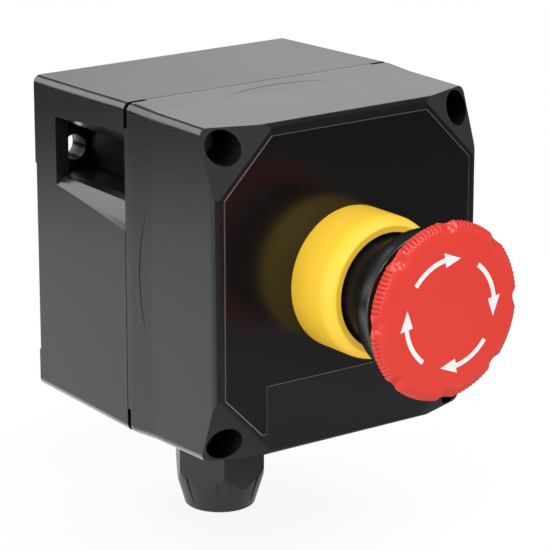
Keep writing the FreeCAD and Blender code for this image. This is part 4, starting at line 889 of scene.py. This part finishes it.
@dataclass
class Collar:
    """Yellow collar with a rounded shoulder and a flat rim round the neck; sizes in millimetres."""

    node: str = "collar"
    hole: float = 11.2
    radius: float = 16.4
    shoulder_height: float = 4.2
    shoulder_width: float = 1.7
    shoulder_steps: int = 16
    edge: float = 0.12
    mouth: float = 13.15
    mouth_length: float = 1.6
    well: float = 14.0
    well_floor: float = 75.3
    sides: int = 192
    crisp_angle: float = 24.0

    def profile(self) -> list[Point]:
        """Rings round the whole wall of the collar, back to the first.

        Returns:
            Radius and distance from the wall of each ring.
        """
        low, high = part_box(self.node)
        rear, rim = -high.y / MM, -low.y / MM
        bend = 2.0 * math.atan(self.shoulder_width / self.shoulder_height)
        sweep = self.shoulder_height / math.sin(bend)
        points = [(self.hole, rear), (self.radius, rear)]
        for step in range(self.shoulder_steps):
            angle = bend * step / self.shoulder_steps
            points.append((self.radius - sweep * (1.0 - math.cos(angle)),
                           rim - self.shoulder_height + sweep * math.sin(angle)))
        points += [(self.radius - self.shoulder_width, rim - self.edge / 2),
                   (self.radius - self.shoulder_width - self.edge, rim), (self.mouth + self.edge, rim),
                   (self.mouth, rim - self.edge), (self.mouth, rim - self.mouth_length),
                   (self.well, rim - self.mouth_length - self.well + self.mouth),
                   (self.well, self.well_floor), (self.hole, self.well_floor), (self.hole, rear)]
        return points

    def build(self, material: Material) -> None:
        """Turn the collar from its profile.

        Args:
            material: Finish of the collar.
        """
        bench = Bench.turned("flat_rimmed_collar", self.sides, self.profile())
        bench.smooth(self.crisp_angle)
        bench.hand_in(material, Body.HOUSING, Slot.COLLAR_YELLOW, self.node)


@dataclass
class NeckAndBell:
    """Black neck that flares into a bell with a faintly barrelled band; sizes in millimetres."""

    rear: float = 83.0
    inner_radius: float = 10.4
    neck_radius: float = 12.4
    flare_start: float = 91.9
    flare_radius: float = 4.34
    flare_angle: float = 82.0
    flare_steps: int = 14
    band: tuple[Point, ...] = (
        (16.30, 96.22), (16.42, 96.60), (16.48, 97.10), (16.50, 97.80), (16.49, 98.50), (16.46, 99.20),
        (16.41, 99.75), (16.33, 100.00), (16.20, 100.14), (16.02, 100.20))
    spigot_radius: float = 13.0
    spigot_end: float = 104.2
    shaft_radius: float = 3.95
    web_back: float = 97.3
    bore: float = 8.05
    seat: float = 93.0
    sides: int = 192
    crisp_angle: float = 30.0

    def profile(self) -> list[Point]:
        """Rings round the whole wall of the neck, back to the first.

        Returns:
            Radius and distance from the wall of each ring.
        """
        points = [(self.inner_radius, self.rear), (self.neck_radius, self.rear)]
        for step in range(self.flare_steps + 1):
            angle = math.radians(self.flare_angle * step / self.flare_steps)
            points.append((self.neck_radius + self.flare_radius * (1.0 - math.cos(angle)),
                           self.flare_start + self.flare_radius * math.sin(angle)))
        points += self.band
        points += [(self.spigot_radius, self.band[-1][1]), (self.spigot_radius, self.spigot_end),
                   (self.shaft_radius, self.spigot_end), (self.shaft_radius, self.web_back),
                   (self.bore, self.web_back), (self.bore, self.seat), (self.inner_radius, self.seat),
                   (self.inner_radius, self.rear)]
        return points

    def build(self, material: Material) -> None:
        """Turn the neck from its profile.

        Args:
            material: Finish of the neck.
        """
        bench = Bench.turned("flared_neck", self.sides, self.profile())
        bench.smooth(self.crisp_angle)
        bench.hand_in(material, Body.KNOB, Slot.NECK_BLACK, "cap_skirt")


@dataclass
class CoverScrews:
    """Four socket screws at the bottom of the wells; sizes in millimetres."""

    seat: float = 58.8
    head_top: float = 61.8
    tip: float = 30.8
    head_radius: float = 3.5
    shank_radius: float = 2.0
    pitch: float = 0.7
    thread_depth: float = 0.3
    thread_top: float = 40.3
    chamfer: float = 0.35
    groove_share: float = 0.965
    groove_slack: float = 0.01
    socket_flats: float = 2.5
    socket_depth: float = 2.0
    cutter_excess: float = 1.0
    across: float = 32.6
    upright: float = 33.7
    sides: int = 48
    crisp_angle: float = 30.0

    def profile(self) -> list[Point]:
        """Rings from the tip over the thread and the shank to the top of the head.

        Returns:
            Radius and distance from the wall of each ring.
        """
        root = self.shank_radius - self.thread_depth
        points = [(root, self.tip)]
        for turn in range(int((self.thread_top - self.tip) / self.pitch)):
            start = self.tip + turn * self.pitch
            points.append((self.shank_radius, start + 0.5 * self.pitch))
            points.append((root, start + self.pitch))
        points += [(self.shank_radius, self.thread_top + self.pitch / 2), (self.shank_radius, self.seat),
                   (self.head_radius, self.seat), (self.head_radius, self.head_top - self.chamfer),
                   (self.head_radius - self.chamfer, self.head_top)]
        return points

    def build(self, material: Material) -> None:
        """Turn one screw, knurl its head, cut its socket and copy it to the four corners.

        Args:
            material: Finish of the screws.
        """
        bench = Bench.turned("cover_screw_1", self.sides, self.profile())
        bench.pick(self.is_groove)
        bpy.ops.transform.resize(value=(self.groove_share, 1.0, self.groove_share), center_override=ORIGIN)
        self.cut_socket(bench)
        bench.smooth(self.crisp_angle)
        corners = [(x, z) for x in (-1, 1) for z in (-1, 1)]
        start = Vector()
        for index, (x, z) in enumerate(corners):
            if index:
                bench = bench.copy("cover_screw_%d" % (index + 1))
            goal = Vector((x * self.across * MM, 0.0, z * self.upright * MM))
            bench.shift(goal - start)
            start = goal
            bench.hand_in(material, Body.HOUSING, Slot.SCREW_STEEL, "cover_screws")

    def is_groove(self, place: Vector) -> bool:
        """True for every second vertex on the side of the head."""
        radius, _, angle = polar(place)
        return (radius > self.head_radius - self.groove_slack
                and round(angle * self.sides / FULL_TURN) % 2 == 0)

    def cut_socket(self, bench: Bench) -> None:
        """Cut the hexagon socket with a prism.

        Args:
            bench: Bench with the screw.
        """
        Bench.clear()
        middle = self.head_top - self.socket_depth / 2 + self.cutter_excess / 2
        bpy.ops.mesh.primitive_cylinder_add(vertices=HEXAGON, radius=self.socket_flats * MM / math.sqrt(3.0),
                                            depth=(self.socket_depth + self.cutter_excess) * MM,
                                            location=(0.0, -middle * MM, 0.0), rotation=ACROSS_AXIS)
        cutter = Bench("socket_cutter").piece
        bench.modify("BOOLEAN", operation="DIFFERENCE", object=cutter, solver="EXACT")
        bpy.data.objects.remove(cutter)


@dataclass
class CoilSpring:
    """Round-wire spring that takes the place of a spring's solid; sizes in millimetres."""

    node: str
    wire: float
    turns: float
    wire_sides: int = 10
    steps_per_turn: int = 36
    crisp_angle: float = 60.0

    def build(self, material: Material) -> None:
        """Sweep the wire's circle round the axis and close its ends.

        Args:
            material: Finish of the wire.
        """
        low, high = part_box(self.node)
        middle = (low + high) / 2
        coil = (high.x - low.x) / 2 - self.wire * MM / 2
        length = high.y - low.y - self.wire * MM
        steps = int(self.turns * self.steps_per_turn)
        Bench.clear()
        bpy.ops.mesh.primitive_circle_add(vertices=self.wire_sides, radius=self.wire * MM / 2,
                                          location=(coil, 0.0, 0.0))
        bench = Bench(self.node + "_wire")
        bench.modify("SCREW", axis="Y", angle=2.0 * math.pi * self.turns, screw_offset=length, steps=steps,
                     render_steps=steps)
        bench.edit(Element.EDGE, selected=False)
        bpy.ops.mesh.select_non_manifold()
        bpy.ops.mesh.fill_holes(sides=0)
        bench.outwards()
        bench.smooth(self.crisp_angle)
        depth = [vertex.co.y for vertex in bench.piece.data.vertices]
        bench.shift(middle - Vector((0.0, (min(depth) + max(depth)) / 2, 0.0)))
        bench.hand_in(material, Body.HOUSING, Slot.SPRING_STEEL, self.node)


@dataclass
class SolidDress:
    """Finishes on the solids that stay."""

    record: dict
    nodes: dict

    def dress(self, materials: dict[Slot, Material]) -> None:
        """Give every solid the finish of its slot.

        Args:
            materials: Material of each slot.
        """
        for row in self.record["subparts"]:
            piece = self.nodes[row["node"]]
            piece.data.materials.clear()
            piece.data.materials.append(materials[Slot(row["material_slot"])])
            LOG.info("%s: %s", row["node"], row["material_slot"])


@dataclass
class PhotoCamera:
    """Camera at the photograph's place; millimetres, degrees and pixels."""

    place: Triple = (-382.486, -563.614, 182.213)
    azimuth: float = -36.3955
    elevation: float = 16.3051
    focal: float = 2894.89
    frame_width: float = 550.0
    sensor: float = 36.0
    nearest: float = 10.0

    def build(self) -> None:
        """Add the camera and make it the scene's."""
        Bench.clear()
        rotation = (math.pi / 2 - math.radians(self.elevation), 0.0, math.radians(self.azimuth))
        bpy.ops.object.camera_add(location=[value * MM for value in self.place], rotation=rotation)
        camera = bpy.context.object
        camera.name = "photo_camera"
        camera.data.sensor_width = self.sensor
        camera.data.lens = self.focal / self.frame_width * self.sensor
        camera.data.clip_start = self.nearest * MM
        bpy.context.scene.camera = camera


@dataclass(frozen=True)
class Lamp:
    """Soft square lamp that looks at the middle of the box; metres and watts."""

    name: str
    place: Triple
    size: float
    power: float
    target: Triple = (0.0, -0.05, 0.0)

    def build(self) -> None:
        """Add the lamp."""
        Bench.clear()
        way = Vector(self.target) - Vector(self.place)
        bpy.ops.object.light_add(type="AREA", location=self.place,
                                 rotation=way.to_track_quat("-Z", "Y").to_euler())
        lamp = bpy.context.object
        lamp.name = self.name
        lamp.data.size = self.size
        lamp.data.energy = self.power


@dataclass(frozen=True)
class Panel:
    """Round soft panel that reflections show; inner and outer are degrees from its middle."""

    way: Triple
    inner: float
    outer: float
    light: float

    def glow(self, shader: Shader, way: Value) -> Value:
        """Light of the panel in a direction.

        Args:
            shader: Shader of the world.
            way: Direction looked in.

        Returns:
            The light.
        """
        near = shader.along(way, tuple(Vector(self.way).normalized()))
        outer, inner = (math.cos(math.radians(angle)) for angle in (self.outer, self.inner))
        return shader.ramp(near, outer, inner) * self.light


@dataclass(frozen=True)
class SoftWall:
    """Lit quarter of the studio behind the box at its upper left; limits on the parts of a direction."""

    side: Limits = (-0.07, -0.02)
    foot: Limits = (0.03, 0.10)
    depth: Limits = (0.50, 0.65)
    light: float = 1.05

    def glow(self, shader: Shader, way: Value) -> Value:
        """Light of the wall in a direction.

        Args:
            shader: Shader of the world.
            way: Direction looked in.

        Returns:
            The light.
        """
        x, y, z = shader.parts(way)
        inside = (1.0 - shader.ramp(x, *self.side)) * shader.ramp(y, *self.depth) * shader.ramp(z, *self.foot)
        return inside * self.light


@dataclass(frozen=True)
class FloorStep:
    """Change of the floor's light in reflections, between two values of y - x in metres."""

    low: float
    high: float
    light: float


@dataclass
class Studio:
    """White sweep with soft light, dark in front of the box where the room is; metres."""

    ambient: float = 0.95
    room: float = 0.03
    haze: float = 0.08
    sweep: Limits = (-0.45, 0.25)
    wall: SoftWall = SoftWall()
    panels: tuple[Panel, ...] = (
        Panel((0.57, 0.745, 0.34), 4.0, 16.0, 1.32),
        Panel((-0.86, 0.22, 0.42), 14.0, 28.0, 0.6),
        Panel((-0.04, -0.94, 0.33), 12.0, 28.0, 0.55),
        Panel((0.95, -0.30, 0.10), 12.0, 28.0, 0.25),
    )
    floor_radius: float = 0.45
    floor_sides: int = 96
    floor_middle: Point = (0.0, -0.04)
    floor_drop: float = 0.0005
    floor_white: float = 0.9
    floor_fade: Limits = (0.30, 0.39)
    floor_steps: tuple[FloorStep, ...] = (
        FloorStep(-0.40, -0.22, 0.25),
        FloorStep(-0.24, -0.17, -0.17),
        FloorStep(-0.14, 0.04, 0.94),
    )
    shadow_share: float = 0.10
    lamps: tuple[Lamp, ...] = (
        Lamp("key_lamp", (-0.55, -0.75, 0.75), 0.24, 3.2),
        Lamp("top_lamp", (0.12, -0.48, 0.80), 0.42, 2.7),
        Lamp("left_lamp", (-1.0, -0.1, 0.0), 0.8, 3.5),
    )

    def build(self) -> None:
        """Add lamps, floor and world, and set the plain view."""
        for lamp in self.lamps:
            lamp.build()
        self.build_floor()
        self.build_world()
        bpy.context.scene.view_settings.view_transform = "Standard"

    def build_floor(self) -> None:
        """Round white floor that keeps a faint shadow and has its own light in reflections."""
        Bench.clear()
        place = (*self.floor_middle, CAD_BOX[0][2] - self.floor_drop)
        bpy.ops.mesh.primitive_circle_add(vertices=self.floor_sides, radius=self.floor_radius,
                                          fill_type="NGON", location=place)
        floor = Bench("white_floor").piece
        material = bpy.data.materials.new("white_floor")
        material.use_nodes = True
        shader = Shader(material.node_tree)
        camera = shader.ray(Ray.CAMERA)
        seen = camera | shader.mirrored()
        spot = shader.places()
        x, y, _ = shader.parts(spot)
        glow = sum(shader.ramp(y - x, step.low, step.high) * step.light for step in self.floor_steps)
        reach = shader.output("ShaderNodeVectorMath", "Value", {"operation": "LENGTH"}, {0: spot})
        glow = glow * (1.0 - shader.ramp(reach, *self.floor_fade))
        lit = shader.diffuse(shade(WHITE, self.floor_white))
        white = shader.node("ShaderNodeEmission", {}, {
            "Color": opaque(WHITE), "Strength": camera + (1.0 - camera) * glow})
        shader.close(shader.layer(seen * (1.0 - self.shadow_share), lit, white))
        floor.data.materials.append(material)

    def build_world(self) -> None:
        """White for the camera, a white sweep and a dark room in reflections, even light elsewhere."""
        world = bpy.data.worlds.new("studio")
        bpy.context.scene.world = world
        world.use_nodes = True
        shader = Shader(world.node_tree)
        camera = shader.ray(Ray.CAMERA)
        mirrored = shader.mirrored()
        way = shader.output("ShaderNodeTexCoord", "Generated")
        studio = self.room + shader.ramp(shader.parts(way)[1], *self.sweep) * self.haze
        for panel in (self.wall, *self.panels):
            studio = studio + panel.glow(shader, way)
        light = mirrored * studio + (1.0 - mirrored) * self.ambient
        background = shader.node("ShaderNodeBackground", {}, {
            "Color": opaque(WHITE), "Strength": camera + (1.0 - camera) * light})
        shader.close(background, "ShaderNodeOutputWorld")


def main() -> None:
    """Build the classes in order."""
    logging.basicConfig(level=logging.INFO, format="%(message)s")
    PhotoCamera().build()
    materials = {finish.slot: finish.material() for finish in FINISHES}
    SolidDress(frame["record"], frame["nodes"]).dress(materials)
    MushroomCap().build(materials[Slot.CAP_RED], ARROW_INK.material())
    Collar().build(materials[Slot.COLLAR_YELLOW])
    NeckAndBell().build(materials[Slot.NECK_BLACK])
    CoverScrews().build(materials[Slot.SCREW_STEEL])
    for spring in (CoilSpring("return_spring", wire=1.0, turns=5.0),
                   CoilSpring("contact_spring_left", wire=0.35, turns=4.0),
                   CoilSpring("contact_spring_right", wire=0.35, turns=4.0)):
        spring.build(materials[Slot.SPRING_STEEL])
    Studio().build()


if __name__ == "__main__":
    main()
